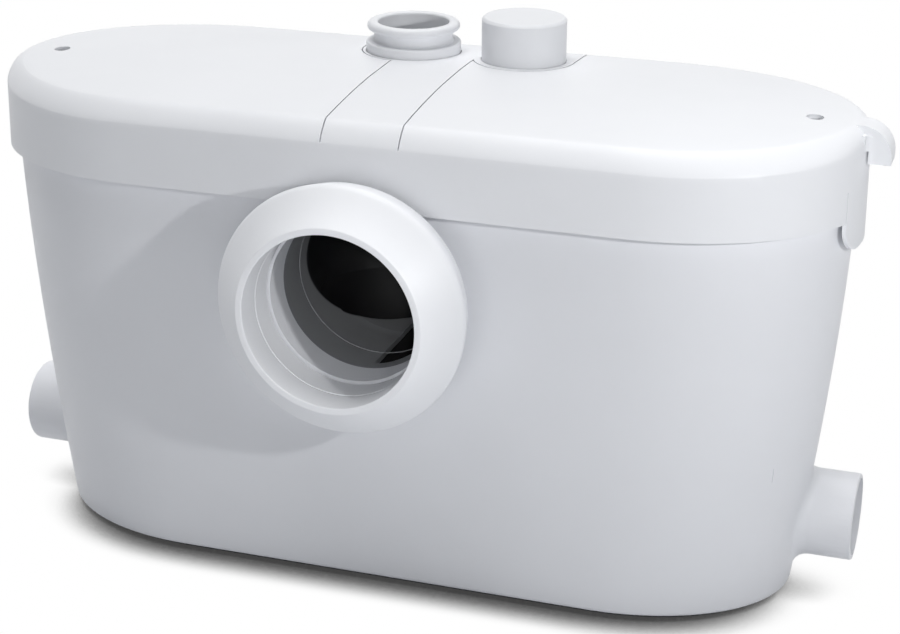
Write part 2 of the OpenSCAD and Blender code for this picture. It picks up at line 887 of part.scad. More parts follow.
// Place of the duct's floor over the drop: left of the middle, up to a slanted edge
module duct_shelf() {
  side = duct_r + duct_wall;
  translate([inlet_x, 0, shelf_z - past]) linear_extrude(height = inlet_z - shelf_z + 2 * past) polygon([
    [-side, neck_in_y - past], [shelf_side, neck_in_y - past], [shelf_side, shelf_end + shelf_side],
    [-side, shelf_end - side]]);
}

module inlet_duct() {
  color("#6b6e73") difference() {
    union() {
      along_y(inlet_x, neck_in_y, inlet_z) cylinder(r = duct_r + duct_wall, h = duct_y - neck_in_y);
      along_y(inlet_x, neck_in_y, inlet_z) cylinder(r = neck_r - duct_edge, h = duct_flange);
      duct_bend(duct_r + duct_wall + bend_grow);
      translate([inlet_x, duct_y, drop_z]) cylinder(r = drop_r + duct_wall, h = inlet_z - drop_z);
      translate([motor_x + basket_r - spout_lap, duct_y - spout_half - duct_wall, spout_z0 - duct_wall])
        cube([inlet_x - motor_x - basket_r, 2 * (spout_half + duct_wall),
          spout_z1 - spout_z0 + 2 * duct_wall]);
      translate([inlet_x, duct_y, floor_z]) cylinder(r = duct_foot_r, h = drop_z - floor_z + past);
    }
    along_y(inlet_x, neck_in_y - past, inlet_z) cylinder(r = duct_r, h = duct_y - neck_in_y + past);
    intersection() {
      along_y(inlet_x, duct_y - past, inlet_z) cylinder(r = duct_r, h = far);
      duct_shelf();
    }
    duct_bend(duct_r + bend_grow);
    translate([inlet_x, duct_y, drop_z + duct_wall]) cylinder(r = drop_r, h = shelf_z - drop_z - duct_wall);
    difference() {
      translate([inlet_x, duct_y, shelf_z - past]) cylinder(r = drop_r, h = inlet_z - shelf_z + past);
      duct_shelf();
    }
    translate([motor_x, duct_y - spout_half, spout_z0])
      cube([inlet_x - motor_x, 2 * spout_half, spout_z1 - spout_z0]);
    translate([motor_x, 0, pump_top_z]) cylinder(r = basket_r + basket_gap, h = far);
  }
}

module outlet_collar() {
  rim = (collar_rim_r - collar_neck_r) / 2 + rim_grow;
  color("#f3f4f6") translate([outlet_x, outlet_y, outlet_seat_z]) difference() {
    union() {
      translate([0, 0, -collar_in]) cylinder(r = collar_neck_r, h = collar_in + collar_h - rim);
      cylinder(r = collar_base_r, h = collar_base_h);
      translate([0, 0, collar_h - rim]) rotate_extrude()
        translate([collar_rim_r - rim, 0]) circle(r = rim, $fn = 32);
      translate([0, 0, collar_h - 2 * rim]) cylinder(r = collar_rim_r - rim, h = 2 * rim);
    }
    translate([0, 0, -collar_in - past]) cylinder(r = outlet_r, h = far);
  }
}

module vent_cap() {
  color("#f3f4f6") translate([vent_x, vent_y, vent_seat_z]) rotate_extrude() polygon([
    [vent_r - cap_wall, 0], [vent_r, 0], [vent_r, vent_h - cap_edge], [vent_r - cap_edge, vent_h],
    [0, vent_h], [0, vent_h - cap_top], [vent_r - cap_wall, vent_h - cap_top]]);
}

module carbon_filter() {
  color("#2b2c2e") translate([vent_x, vent_y, vent_seat_z + filter_lift])
    cylinder(r = filter_r, h = filter_h);
}

// Runs along the pump outlet, from the outlet's start
module pipe_line() {
  translate([motor_x, outlet_lane, pipe_z]) rotate([0, 0, pipe_turn]) rotate([0, 90, 0]) children();
}

module pump_housing() {
  color("#4a4e54") difference() {
    union() {
      translate([motor_x, 0, pump_z]) cylinder(r = basket_r, h = pump_h);
      pipe_line() cylinder(r = pipe_out, h = pump_out_len);
    }
    translate([motor_x, 0, pump_z + pump_floor]) cylinder(r = basket_r - pump_wall, h = far);
    pipe_line() cylinder(r = pipe_r, h = pump_out_len + past);
  }
}

module pump_cover() {
  color("#53575d") translate([motor_x, 0, pump_top_z]) pipe(basket_r, eye_r, pump_lid_t);
}

module impeller() {
  color("#d8d2c2") translate([motor_x, 0, impeller_z]) difference() {
    union() {
      cylinder(r = impeller_r, h = disc_t);
      cylinder(r = shaft_r + hub_wall, h = hub_h);
      for (i = [0 : vanes - 1])
        rotate([0, 0, 360 * i / vanes]) translate([0, vane_off, disc_t - vane_t])
          cube([impeller_r - vane_in, vane_t, vane_h + vane_t - disc_t]);
    }
    translate([0, 0, -past]) cylinder(r = shaft_r + press_fit, h = far);
  }
}

module basket() {
  color("#5d6167") translate([motor_x, 0, basket_z]) difference() {
    cylinder(r = basket_r, h = basket_h);
    translate([0, 0, basket_wall]) cylinder(r = basket_r - basket_wall, h = far);
    translate([0, 0, -past]) cylinder(r = basket_eye, h = far);
    for (i = [0 : 11])
      rotate([0, 0, 30 * i]) translate([drain_ring, 0, -past]) cylinder(r = drain_r, h = far);
    for (i = [0 : 13])
      rotate([0, 0, 70 + 15.5 * i]) translate([basket_r - mesh_in, -mesh_w / 2, mesh_z])
        cube([2 * mesh_in, mesh_w, mesh_h]);
    translate([0, duct_y - spout_half + spout_in, spout_z0 - basket_z + spout_in])
      cube([far, 2 * (spout_half - spout_in), spout_z1 - spout_z0 - 2 * spout_in]);
  }
}

module macerator_blade() {
  color("#b4b8bc") translate([motor_x, 0, basket_z + blade_lift]) difference() {
    union() {
      cylinder(r = shaft_r + hub_wall, h = blade_hub);
      for (a = [0, 180])
        rotate([0, 0, a]) translate([0, -blade_w / 2, blade_z]) cube([blade_reach, blade_w, blade_t]);
      for (a = [90, 270])
        rotate([0, 0, a]) translate([0, -cross_w / 2, cross_z])
          cube([blade_reach - cross_cut, cross_w, cross_t]);
      for (a = [0, 180])
        rotate([0, 0, a]) translate([blade_reach - hammer_in, -blade_w / 2, blade_z])
          cube([hammer_t, blade_w, hammer_h]);
    }
    translate([0, 0, -past]) cylinder(r = shaft_r + press_fit, h = far);
  }
}

module seal_plate() {
  color("#4a4e54") translate([motor_x, 0, basket_top_z]) pipe(motor_r, seal_r, plate_t);
}

module shaft_seal() {
  color("#1d1e20") translate([motor_x, 0, basket_top_z]) pipe(seal_r - slip, shaft_r + run_fit, plate_t);
}

module motor_housing() {
  color("#7b7f85") translate([motor_x, 0, motor_z]) difference() {
    cylinder(r = motor_r, h = motor_top_z - motor_z);
    translate([0, 0, stator_z0 - motor_z]) cylinder(r = motor_r - motor_wall, h = far);
    translate([0, 0, motor_floor + bearing_h]) cylinder(r = motor_r - motor_wall - stator_ledge, h = far);
    translate([0, 0, motor_floor]) cylinder(r = bearing_r + slip, h = far);
    translate([0, 0, -past]) cylinder(r = motor_eye, h = far);
    for (a = [45 : 90 : 315])
      rotate([0, 0, a]) translate([motor_screw_ring, 0, motor_top_z - motor_z - motor_screw_in])
        cylinder(r = motor_screw_r + pin_fit, h = far);
  }
}

module bearing(z) {
  translate([motor_x, 0, z]) pipe(bearing_r, shaft_r + run_fit, bearing_h);
}

module lower_bearing() {
  color("#a9adb2") bearing(motor_z + motor_floor);
}

module upper_bearing() {
  color("#a9adb2") bearing(motor_top_z - bearing_h);
}

module motor_shaft() {
  low = impeller_z - shaft_lip;
  core_z = motor_z + motor_floor + bearing_h + bearing_gap;
  core_h = motor_top_z - bearing_h - bearing_gap - core_z;
  color("#c3c7cb") translate([motor_x, 0, 0]) {
    translate([0, 0, low]) cylinder(r = shaft_r, h = motor_top_z - shaft_end - low);
    translate([0, 0, low]) cylinder(r = shaft_r + shaft_lip, h = shaft_lip);
    translate([0, 0, core_z]) cylinder(r = core_r, h = core_h);
    translate([0, 0, stator_z0 - shoulder_h]) cylinder(r = core_r + shoulder_w, h = shoulder_h);
  }
}

module rotor_core() {
  color("#6d7075") translate([motor_x, 0, stator_z0]) pipe(rotor_r, core_r + press_fit, stator_len);
}

module stator_core() {
  color("#54575b") translate([motor_x, 0, stator_z0]) pipe(stator_r, rotor_r + rotor_gap, stator_len);
}

module stator_windings() {
  color("#a5612c")
    for (z = [stator_z0 - winding_h, stator_z1])
      translate([motor_x, 0, z]) pipe(winding_r, winding_in, winding_h);
}

module motor_end_cap() {
  color("#7b7f85") translate([motor_x, 0, motor_top_z]) difference() {
    union() {
      cylinder(r = motor_r, h = end_cap_t);
      translate([0, 0, -bearing_h]) cylinder(r = bearing_r + bearing_wall, h = bearing_h + past);
    }
    translate([0, 0, -bearing_h - past]) cylinder(r = bearing_r + slip, h = bearing_h + past);
    for (a = [45 : 90 : 315])
      rotate([0, 0, a]) translate([motor_screw_ring, 0, -past]) cylinder(r = motor_screw_r + slip, h = far);
  }
}

module motor_screws() {
  color("#9a9ea3") translate([motor_x, 0, motor_top_z + end_cap_t])
    for (a = [45 : 90 : 315])
      rotate([0, 0, a]) translate([motor_screw_ring, 0, 0]) {
        translate([0, 0, -motor_screw_len]) cylinder(r = motor_screw_r, h = motor_screw_len + past);
        cylinder(r = motor_head_r, h = motor_head_h);
      }
}

module delivery_pipe() {
  socket_at = pump_out_len - socket_len;
  color("#d9dbde") difference() {
    union() {
      pipe_line() translate([0, 0, socket_at]) cylinder(r = socket_r + pipe_wall, h = socket_len + pipe_wall);
      pipe_line() translate([0, 0, pump_out_len]) cylinder(r = pipe_out, h = pipe_run - pump_out_len);
      translate([outlet_x, outlet_y, pipe_z]) sphere(r = pipe_out + bend_grow);
      translate([outlet_x, outlet_y, pipe_z]) cylinder(r = pipe_out, h = valve_z - pipe_z);
      translate([outlet_x, outlet_y, floor_z]) cylinder(r = pipe_foot_r, h = pipe_foot_h);
    }
    pipe_line() translate([0, 0, socket_at - past]) cylinder(r = socket_r, h = socket_len + past);
    pipe_line() cylinder(r = pipe_r, h = pipe_run);
    translate([outlet_x, outlet_y, pipe_z]) sphere(r = pipe_r + bend_grow);
    translate([outlet_x, outlet_y, pipe_z]) cylinder(r = pipe_r, h = far);
  }
}

module valve_body() {
  color("#d9dbde") translate([outlet_x, outlet_y, 0]) difference() {
    union() {
      translate([0, 0, valve_z - socket_len]) cylinder(r = socket_r + pipe_wall, h = socket_len + past);
      difference() {
        translate([0, 0, valve_z]) cylinder(r = valve_r + valve_wall, h = valve_h);
        translate([0, 0, valve_z + valve_plate]) cylinder(r = valve_r, h = far);
      }
      for (t = [-1, 1])
        translate([-valve_arm - lug_w / 2, t * lug_y - lug_t / 2, valve_z + valve_plate - past])
          cube([lug_w, lug_t, lug_h]);
    }
    translate([0, 0, valve_z - socket_len - past]) cylinder(r = socket_r, h = socket_len + past);
    translate([0, 0, valve_z - past]) cylinder(r = pipe_r, h = valve_plate + 2 * past);
    along_y(-valve_arm, -valve_pin_len / 2 - past, valve_pin_z)
      cylinder(r = pin_r + pin_fit, h = valve_pin_len + 2 * past);
  }
}

module valve_pin() {
  color("#b4b8bc") along_y(outlet_x - valve_arm, outlet_y - valve_pin_len / 2, valve_pin_z)
    cylinder(r = pin_r, h = valve_pin_len);
}

module check_flap() {
  color("#27282a") translate([outlet_x, outlet_y, valve_z + valve_plate]) difference() {
    union() {
      cylinder(r = check_r, h = flap_t);
      translate([-valve_arm, -check_arm / 2, check_lift]) cube([valve_arm, check_arm, flap_t - check_lift]);
      along_y(-valve_arm, -check_barrel_len / 2, valve_pin_up)
        cylinder(r = check_barrel_r, h = check_barrel_len);
    }
    along_y(-valve_arm, -valve_pin_len / 2, valve_pin_up) cylinder(r = pin_r + pin_fit, h = valve_pin_len);
  }
}

module riser() {
  color("#d9dbde") translate([outlet_x, outlet_y, valve_top_z]) difference() {
    union() {
      cylinder(r = valve_r + valve_wall, h = riser_flange);
      cylinder(r = collar_neck_r, h = riser_top_z - valve_top_z);
    }
    translate([0, 0, -past]) cylinder(r = riser_r, h = far);
  }
}

// Flap of the right side inlet
module inlet_flap() {
  difference() {
    union() {
      along_x(seat_x - flap_t, 0, spigot_z) cylinder(r = flap_r, h = flap_t);
      translate([seat_x - flap_t, -flap_arm / 2, spigot_z]) cube([flap_t, flap_arm, flap_pin_z - spigot_z]);
      along_y(flap_pin_x, -barrel_len / 2, flap_pin_z) cylinder(r = barrel_r, h = barrel_len);
    }
    along_y(flap_pin_x, -flap_pin_len / 2, flap_pin_z) cylinder(r = pin_r + pin_fit, h = flap_pin_len);
  }
}

module left_flap() {
  color("#2b2d30") on_side(-1) inlet_flap();
}

module right_flap() {
  color("#2b2d30") on_side(1) inlet_flap();
}

// Pin of the right side inlet's flap
module flap_pin() {
  along_y(flap_pin_x, -flap_pin_len / 2, flap_pin_z) cylinder(r = pin_r, h = flap_pin_len);
}

module left_flap_pin() {
  color("#b4b8bc") on_side(-1) flap_pin();
}

module right_flap_pin() {
  color("#b4b8bc") on_side(1) flap_pin();
}

module electrics_tray() {
  color("#3d4147") difference() {
    translate([switch_x - post_left - tray_edge, -post_y - tray_edge, tray_z])
      cube([post_left + post_right + 2 * tray_edge, 2 * (post_y + tray_edge), tray_t]);
    for (p = posts)
      translate([p.x, p.y, tray_z - past]) cylinder(r = pin_r + screw_gap, h = far);
    translate([switch_x, 0, tray_z - past]) cylinder(r = air_r + air_wall + slip, h = far);
  }
}

module tray_screws() {
  color("#9a9ea3")
    for (p = posts)
      translate([p.x, p.y, tray_top]) {
        cylinder(r = tray_head_r, h = tray_head_h);
        translate([0, 0, -tray_screw_len]) cylinder(r = pin_r, h = tray_screw_len + past);
      }
}

module air_tube() {
  low = floor_z + air_gap;
  color("#d9dbde") translate([switch_x, 0, 0]) difference() {
    union() {
      translate([0, 0, low]) cylinder(r = air_r + air_wall, h = tray_top - low);
      translate([0, 0, tray_top]) cylinder(r = air_r + air_lip, h = air_flange);
    }
    translate([0, 0, floor_z]) cylinder(r = air_r, h = far);
  }
}

module switch_body() {
  color("#4a4e54") translate([switch_x, 0, switch_z]) difference() {
    cylinder(r = switch_r, h = switch_h - switch_cap_t);
    translate([0, 0, switch_floor]) cylinder(r = switch_r - switch_wall, h = far);
    translate([0, 0, -past]) cylinder(r = switch_port, h = far);
  }
}

module diaphragm() {
  color("#1d1e20") translate([switch_x, 0, switch_z + switch_floor])
    cylinder(r = switch_r - switch_wall - slip, h = diaphragm_t);
}

module switch_plunger() {
  color("#e3e0d6") translate([switch_x, 0, switch_z + plunger_z]) {
    cylinder(r = plunger_disc, h = plunger_disc_t);
    cylinder(r = plunger_r, h = switch_h - plunger_z + plunger_out);
  }
}

module switch_cap() {
  color("#53575d") translate([switch_x, 0, switch_z + switch_h - switch_cap_t])
    pipe(switch_r, plunger_r + run_fit, switch_cap_t);
}

module microswitch() {
  color("#26282b") translate([switch_x, 0, switch_z + switch_h]) difference() {
    translate([-micro_size.x / 2, -micro_size.y / 2, 0]) cube(micro_size);
    translate([0, 0, -past]) cylinder(r = plunger_r + run_fit, h = past + plunger_out + stroke + micro_gap);
  }
}

module capacitor() {
  color("#c9ccd0") translate([capacitor_x, capacitor_y, tray_top]) {
    cylinder(r = capacitor_r, h = capacitor_h);
    translate([0, 0, capacitor_h]) cylinder(r = stud_r, h = stud_h);
  }
}

module terminal_block() {
  color("#e8e8e4") translate([block_x, block_y, tray_top]) difference() {
    cube(block_size);
    for (i = [0 : 2])
      translate([block_in + block_step * i, block_size.y / 2, block_floor]) cylinder(r = block_hole, h = far);
    for (i = [0 : 2])
      along_y(block_in + block_step * i, -past, block_floor)
        cylinder(r = block_wire, h = block_size.y + 2 * past);
  }
}

base_mat();
tank();
lid_gasket();
lid();
left_cover();
right_cover();
left_cover_screw();
right_cover_screw();
cable_gland();
inlet_sleeve();
inlet_duct();
outlet_collar();
vent_cap();
carbon_filter();
pump_housing();
pump_cover();
impeller();
basket();
macerator_blade();
seal_plate();
shaft_seal();
motor_housing();
lower_bearing();
upper_bearing();
motor_shaft();
rotor_core();
stator_core();
stator_windings();
motor_end_cap();
motor_screws();
delivery_pipe();
valve_body();
valve_pin();
check_flap();
riser();
left_flap();
left_flap_pin();
right_flap();
right_flap_pin();
electrics_tray();
tray_screws();
air_tube();
switch_body();
diaphragm();
switch_plunger();
switch_cap();
microswitch();
capacitor();
terminal_block();
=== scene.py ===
import json
import math

import bmesh
import bpy
from mathutils import Matrix, Vector


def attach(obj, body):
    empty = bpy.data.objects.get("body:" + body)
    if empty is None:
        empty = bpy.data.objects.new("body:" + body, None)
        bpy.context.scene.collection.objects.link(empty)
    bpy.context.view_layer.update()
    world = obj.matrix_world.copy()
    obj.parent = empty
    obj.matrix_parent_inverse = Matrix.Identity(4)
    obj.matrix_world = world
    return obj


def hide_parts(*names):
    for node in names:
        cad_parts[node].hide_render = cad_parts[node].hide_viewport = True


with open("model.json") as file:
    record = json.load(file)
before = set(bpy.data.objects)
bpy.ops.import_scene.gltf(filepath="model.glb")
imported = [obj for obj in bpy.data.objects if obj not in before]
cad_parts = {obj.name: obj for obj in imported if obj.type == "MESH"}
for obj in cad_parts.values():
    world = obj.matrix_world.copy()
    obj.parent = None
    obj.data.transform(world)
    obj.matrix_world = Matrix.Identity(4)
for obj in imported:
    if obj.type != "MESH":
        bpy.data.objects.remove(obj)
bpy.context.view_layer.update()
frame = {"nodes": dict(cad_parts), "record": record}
nodes = frame["nodes"]

# Sizes are in millimetres, as in the part's source, and become metres when a piece is finished
METRES = 0.001

# Reach and height of blocks that cut through the whole part
FAR, SKY = 350.0, 420.0

# Steps round a turned form
PIN_STEPS, POST_STEPS, GLAND_STEPS, ROUND_STEPS = 24, 48, 64, 128
WIDE_STEPS, FINE_STEPS, MOUTH_STEPS = 160, 192, 256
END_STEPS, SIDE_STEPS = 96, 24

# Axes of the pan inlet (x, z), the outlet and the vent (x, y)
INLET = (-7.3, 181.0)
OUTLET = (-22.0, 50.965)
VENT = (45.2, 50.465)
INLET_AXIS = (INLET[0], 0.0, INLET[1])

# Tank: half length, half width and length of the round ends at the foot, and their gain up to the rim
TANK_FOOT = (225.0, 74.0, 102.0)
TANK_GAIN = (21.0, 12.5, 6.0)
TANK_LOW, TANK_HIGH, TANK_WALL, TANK_ROUND, TANK_BULGE = 3.0, 244.0, 3.0, 2.5, 1.6
FOOT_STEPS = 6
TANK_LEVELS = (12, 24, 40, 60, 85, 110, 135, 160, 185, 210, 230, TANK_HIGH)
INNER_LEVELS = (TANK_LOW + TANK_WALL, 30, 80, 140, 200, TANK_HIGH + 1)

# Side inlets: axis, pipe, root inside the wall and hollow fillet
SPIGOT_Y, SPIGOT_Z, SPIGOT_R, SPIGOT_END = 13.8, 42.3, 25.0, 259.3
SPIGOT_BORE, SPIGOT_ROOT, SPIGOT_ROOT_R = 22.5, 205.0, 24.0
FILLET, FILLET_STEPS, FILLET_X, FILLET_RUN = 8.0, 10, 236.0, 6.0
FILLET_EDGE, FILLET_SUNK = 0.4, 1.6
# Rounded end of a side inlet, as steps back from its end and in from its radius
SPIGOT_LIP = ((1.2, 0.0), (0.5, 0.2), (0.1, 0.7), (0.0, 1.3))

# Lugs and pins of the side flaps; a lug has two steps of near x and low z
LUG_OFF, LUG_HALF, LUG_FAR, LUG_TOP = 13.0, 2.0, 217.0, 74.8
LUG_STEPS = ((205.0, 61.3), (199.5, 67.3))
PIN_X, PIN_Z, PIN_HALF, PIN_HOLE = 203.5, 70.8, 17.0, 1.55

# Neck of the pan inlet and posts of the electrics tray
NECK_R, NECK_FRONT, NECK_BACK, NECK_EDGE, NECK_BEVEL = 60.0, -104.0, -76.02, 1.0, 0.3
SHANK_BORE, SHANK_DEPTH, DUCT_R, DUCT_FRONT, DUCT_CUT = 56.1, 9.5, 47.0, -100.0, 30.0
POST_X, POST_Y, POST_R, POST_LOW, POST_LENGTH = (82, 178), (-46, 46), 6.0, 5.0, 185.0
POST_HOLE, POST_HOLE_LOW, POST_HOLE_RUN = 1.55, 179.0, 20.0

# Small raised triangle on the tank: degrees round its right end and height of each corner
MARK = ((-34.1, 92.4), (-33.8, 83.8), (-27.9, 85.2))
MARK_SUNK, MARK_PROUD = -1.0, 0.5

# Lid: outline, round edge and walls
LID_HALF_LENGTH, LID_HALF_WIDTH, LID_END = 251.0, 91.99, 110.0
LID_EDGE_Z, ROUND_Z, LID_LEAN = 231.5, 271.0, 0.5
LID_TOP_T, LID_WALL, COVER_T, DECK_DEPTH = 6.5, 4.0, 2.5, 2.8
LID_FOOT_LEVELS, LID_SKIRT_LEVELS, LID_NECK_LEVELS = (201.5, 216), (240, 248, 255), (259, 263)
TOP_RINGS = (13, 17, 22, 28, 36, 46, 57, 68, 78)
EDGE_ROUND, EDGE_BEVEL, EDGE_TURNS = 10.0, 0.55, 12
# From this y forwards the round edge becomes a soft bevel, over this run
BEVEL_FROM_Y, BEVEL_RUN = -10.0, 45.0
# A step between two rings at one height
STEP = 0.001

# Crest of the lid: height, fall at the screws, end of the level stretch, and fall to the front
CREST_Z, CREST_END_FALL, CREST_KNEE = 286.0, 5.0, 172.0
CREST_FRONT_FALL, CREST_MIDDLE_Y, CREST_RUN = 6.5, 18.0, 98.0

# Middle strip, with its round seats for the outlet and the vent
STRIP_LEFT, STRIP_RIGHT, OUTLET_SEAT, VENT_SEAT, SEAM = -25.0, 18.0, 29.7, 29.0, 0.8
COVER_EDGE_Z = 266.0

# Deck of the lid: cuts through it, rim, screw wells, access holes, pads, vent, outlet and gland
DECK_CUT_Z, CUT_RUN = 255.0, 60.0
RIM_LOW, RIM_HIGH, RIM_CLEAR, RIM_DEPTH = 247.0, 259.0, 0.3, 3.0
SCREW_X, SCREW_Y, SCREW_HOLE = 221.4, -5.6, 2.6
WELL_Z, WELL_R, WELL_SEAT_Z, WELL_SEAT_R, WELL_OVER = 273.623, 7.5, 258.0, 9.7, 2.0
ACCESS_X, ACCESS_R, NOTCH_R = (-110, 130), 58.0, 63.0
PAD_T, OUTLET_PAD_Z, OUTLET_PAD_R, VENT_PAD_Z, VENT_PAD_R = 5.0, 273.0, 28.7, 274.5, 25.4
VENT_PIPE_Z, VENT_PIPE_R, VENT_PIPE_LENGTH = 277.5, 17.0, 19.0
VENT_CUP_Z, VENT_CUP_R, VENT_HOLE = 283.5, 14.0, 10.9
COLLAR_Z, COLLAR_SEAT_R, OUTLET_HOLE = 281.0, 28.2, 23.1
CAP_Z, CAP_SEAT_R, CAP_SEAT_TOP = 282.5, 24.9, 340.0
GLAND_X, GLAND_Z, GLAND_IN, GLAND_HOLE, GLAND_SEAT = 247.81, 267.5, 227.0, 4.4, 5.3

# Snap tongue at the lid's right end and the slits beside it
TONGUE_HALF, TONGUE_ROUND, TONGUE_LOW, TONGUE_T = 30.0, 14.0, 214.0, 2.0
TONGUE_IN, TONGUE_REACH, TONGUE_TOP, TONGUE_FOOT_TOP = 200.0, 100.0, 240.0, 235.0
SLIT, SLIT_X, SLIT_LOW, SLIT_RISE = 0.8, (212, 292), 220.0, 17.0
BELOW_LID_Z = 150.0

# Covers: screw bosses
BOSS_R, BOSS_GAP, BOSS_LENGTH, BOSS_FLOOR, HEAD_R, COVER_HOLE = 7.2, 0.3, 6.0, 1.8, 4.7, 2.7

# Hood over the cable gland, with its flared foot
HOOD_X, HOOD_Z, HOOD_LOW, HOOD_FACE = 246.5, 262.5, 258.7, 251.05
HOOD_R, HOOD_HALF, HOOD_IN_R, HOOD_IN_HALF, HOOD_IN_LOW, HOOD_RUN = 16.5, 9.0, 14.0, 6.5, 257.7, 20.0
FOOT_R, FOOT_HALF, FOOT_FLARE, FOOT_FRONT, FOOT_RUN = 12.5, 14.0, 5.0, 249.2, 12.0

# Pan sleeve: bore, shank, mouth, edge of the flange and tapered band behind it
SLEEVE_BORE, SLEEVE_SHANK, SLEEVE_BACK, SHANK_ROOT = 48.3, 56.0, -97.0, -123.6
MOUTH_Y, MOUTH_ROUND, MOUTH_EDGE_R, MOUTH_EDGE, CONE_TURN = -131.6, 0.6, 51.6, 1.0, 317
FLANGE_R, FLANGE_Y, FLANGE_T, BAND_FALL = 70.6, -113.6, 3.0, 4.0
CONE_END, BAND_START, BAND_END = (68.0, -116.06), (69.88, -110.6), ((66.75, -97.6), (66.2, SLEEVE_BACK))
GROOVE_Y, GROOVE_HALF, GROOVE_FLAT, GROOVE_DEPTH = -113.0, 0.5, 0.3, 0.4
RIDGE_Y, RIDGE_HALF, RIDGE_FLAT, RIDGE_IN, RIDGE_OUT = -52.2, 0.5, 0.2, 46.7, 47.05

# Outlet collar: shank, broad foot with a round edge, hollow waist and bead; vent cap
COLLAR_LOW, COLLAR_BORE, COLLAR_SHANK, COLLAR_BEVEL, COLLAR_TOP = 270.0, 20.7, 23.0, 0.4, 301.0
FOOT_EDGE = ((-0.5, 0.0), (-0.1, 0.2), (0.0, 0.7))
COLLAR_FOOT_R, COLLAR_FOOT_TOP, COLLAR_FOOT_ROUND, WAIST_ROUND = 27.7, 289.5, 1.0, 1.6
WAIST_TOP, WAIST_BEVEL, BEAD_R, BEAD, BEAD_IN = 295.4, 0.5, 24.4, 2.6, 1.5
CAP_R, CAP_IN_R, CAP_TOP, CAP_IN_TOP, CAP_FOOT, CAP_CORNER = 24.4, 22.2, 308.5, 306.1, 0.3, 0.5
# Bevel of the cap: its lower and upper bend, as steps in from its radius and down from its top
CAP_LOW_BEND = ((0.0, 1.7), (0.1, 1.3), (0.5, 0.9))
CAP_HIGH_BEND = ((1.1, 0.3), (1.4, 0.0), (1.9, 0.0))
CAP_SIDE_END, CAP_FLAT_R = 306.3, 21.5


# Solids
def put(name, verts, faces):
    mesh = bpy.data.meshes.new(name)
    mesh.from_pydata(verts, [], faces)
    work = bmesh.new()
    work.from_mesh(mesh)
    bmesh.ops.recalc_face_normals(work, faces=work.faces)
    work.to_mesh(mesh)
    work.free()
    made = bpy.data.objects.new(name, mesh)
    bpy.context.scene.collection.objects.link(made)
    return made


def drop(obj):
    mesh = obj.data
    bpy.data.objects.remove(obj)
    bpy.data.meshes.remove(mesh)


def combine(obj, other, how):
    step = obj.modifiers.new("step", "BOOLEAN")
    step.operation, step.solver, step.object = how, "MANIFOLD", other
    view = bpy.context.evaluated_depsgraph_get()
    mesh = bpy.data.meshes.new_from_object(obj.evaluated_get(view))
    old = obj.data
    obj.modifiers.clear()
    obj.data = mesh
    mesh.name = obj.name
    bpy.data.meshes.remove(old)
    drop(other)
    return obj


def less(obj, *others):
    for other in others:
        combine(obj, other, "DIFFERENCE")
    return obj


def plus(obj, *others):
    for other in others:
        combine(obj, other, "UNION")
    return obj


def within(obj, *others):
    for other in others:
        combine(obj, other, "INTERSECT")
    return obj


def block(lo, hi):
    (a, b, c), (d, e, f) = lo, hi
    corners = [(a, b, c), (d, b, c), (d, e, c), (a, e, c), (a, b, f), (d, b, f), (d, e, f), (a, e, f)]
    sides = [(0, 3, 2, 1), (4, 5, 6, 7), (0, 1, 5, 4), (1, 2, 6, 5), (2, 3, 7, 6), (3, 0, 4, 7)]
    return put("block", corners, sides)


def turned(profile, axis, at, count=ROUND_STEPS):
    """Closed profile of (radius, along) turned about an axis; a radius of 0 is a point on the axis."""
    verts, rows = [], []
    for r, h in profile:
        turn = []
        for i in range(1 if r == 0 else count):
            a = 2 * math.pi * i / count
            u, v = r * math.cos(a), r * math.sin(a)
            place = {"x": (h, u, v), "y": (v, h, u), "z": (u, v, h)}[axis]
            turn.append(len(verts))
            verts.append(tuple(p + q for p, q in zip(place, at)))
        rows.append(turn)
    faces = []
    for one, two in zip(rows, rows[1:] + rows[:1]):
        if len(one) == 1 and len(two) == 1:
            continue
        for i in range(count):
            j = (i + 1) % count
            face = [one[i % len(one)], one[j % len(one)], two[j % len(two)], two[i % len(two)]]
            faces.append(tuple(dict.fromkeys(face)))
    return put("turned", verts, faces)


def rod(axis, at, r, length, count=ROUND_STEPS):
    return turned([(0, 0), (r, 0), (r, length), (0, length)], axis, at, count)


def arc(r, h, size, start, end, steps=8):
    """Points on a round edge about (r, h), from one angle to another."""
    turns = [math.radians(start + (end - start) * i / steps) for i in range(steps + 1)]
    return [(r + size * math.cos(a), h + size * math.sin(a)) for a in turns]


def bend(a, b, c, steps=10):
    """Soft corner at b between two straight stretches that end at a and c."""
    return [tuple((1 - u) ** 2 * p + 2 * u * (1 - u) * q + u * u * r for p, q, r in zip(a, b, c))
            for u in (i / steps for i in range(steps + 1))]


def outline(hl, hw, ax):
    """Straight sides and elliptical ends, counter-clockwise from the right end's front corner."""
    run = hl - ax
    right = [math.radians(-90 + 180 * i / END_STEPS) for i in range(END_STEPS + 1)]
    left = [a + math.pi for a in right]
    side = [run * (1 - 2 * i / SIDE_STEPS) for i in range(1, SIDE_STEPS)]
    return ([(run + ax * math.cos(a), hw * math.sin(a)) for a in right] + [(x, hw) for x in side]
            + [(-run + ax * math.cos(a), hw * math.sin(a)) for a in left] + [(-x, -hw) for x in side])


def columns(base):
    """Faces that close one ring with strips across it."""
    n, m = END_STEPS, SIDE_STEPS
    total, left = 2 * (n + m), n + m
    pairs = [(i, n - i) for i in range(n // 2, -1, -1)] + [(total - k, n + k) for k in range(1, m)]
    pairs += [(left + n - i, left + i) for i in range(n // 2 + 1)]
    strips = [dict.fromkeys((a[0], b[0], b[1], a[1])) for a, b in zip(pairs, pairs[1:])]
    return [tuple(base + k for k in strip_ring) for strip_ring in strips]


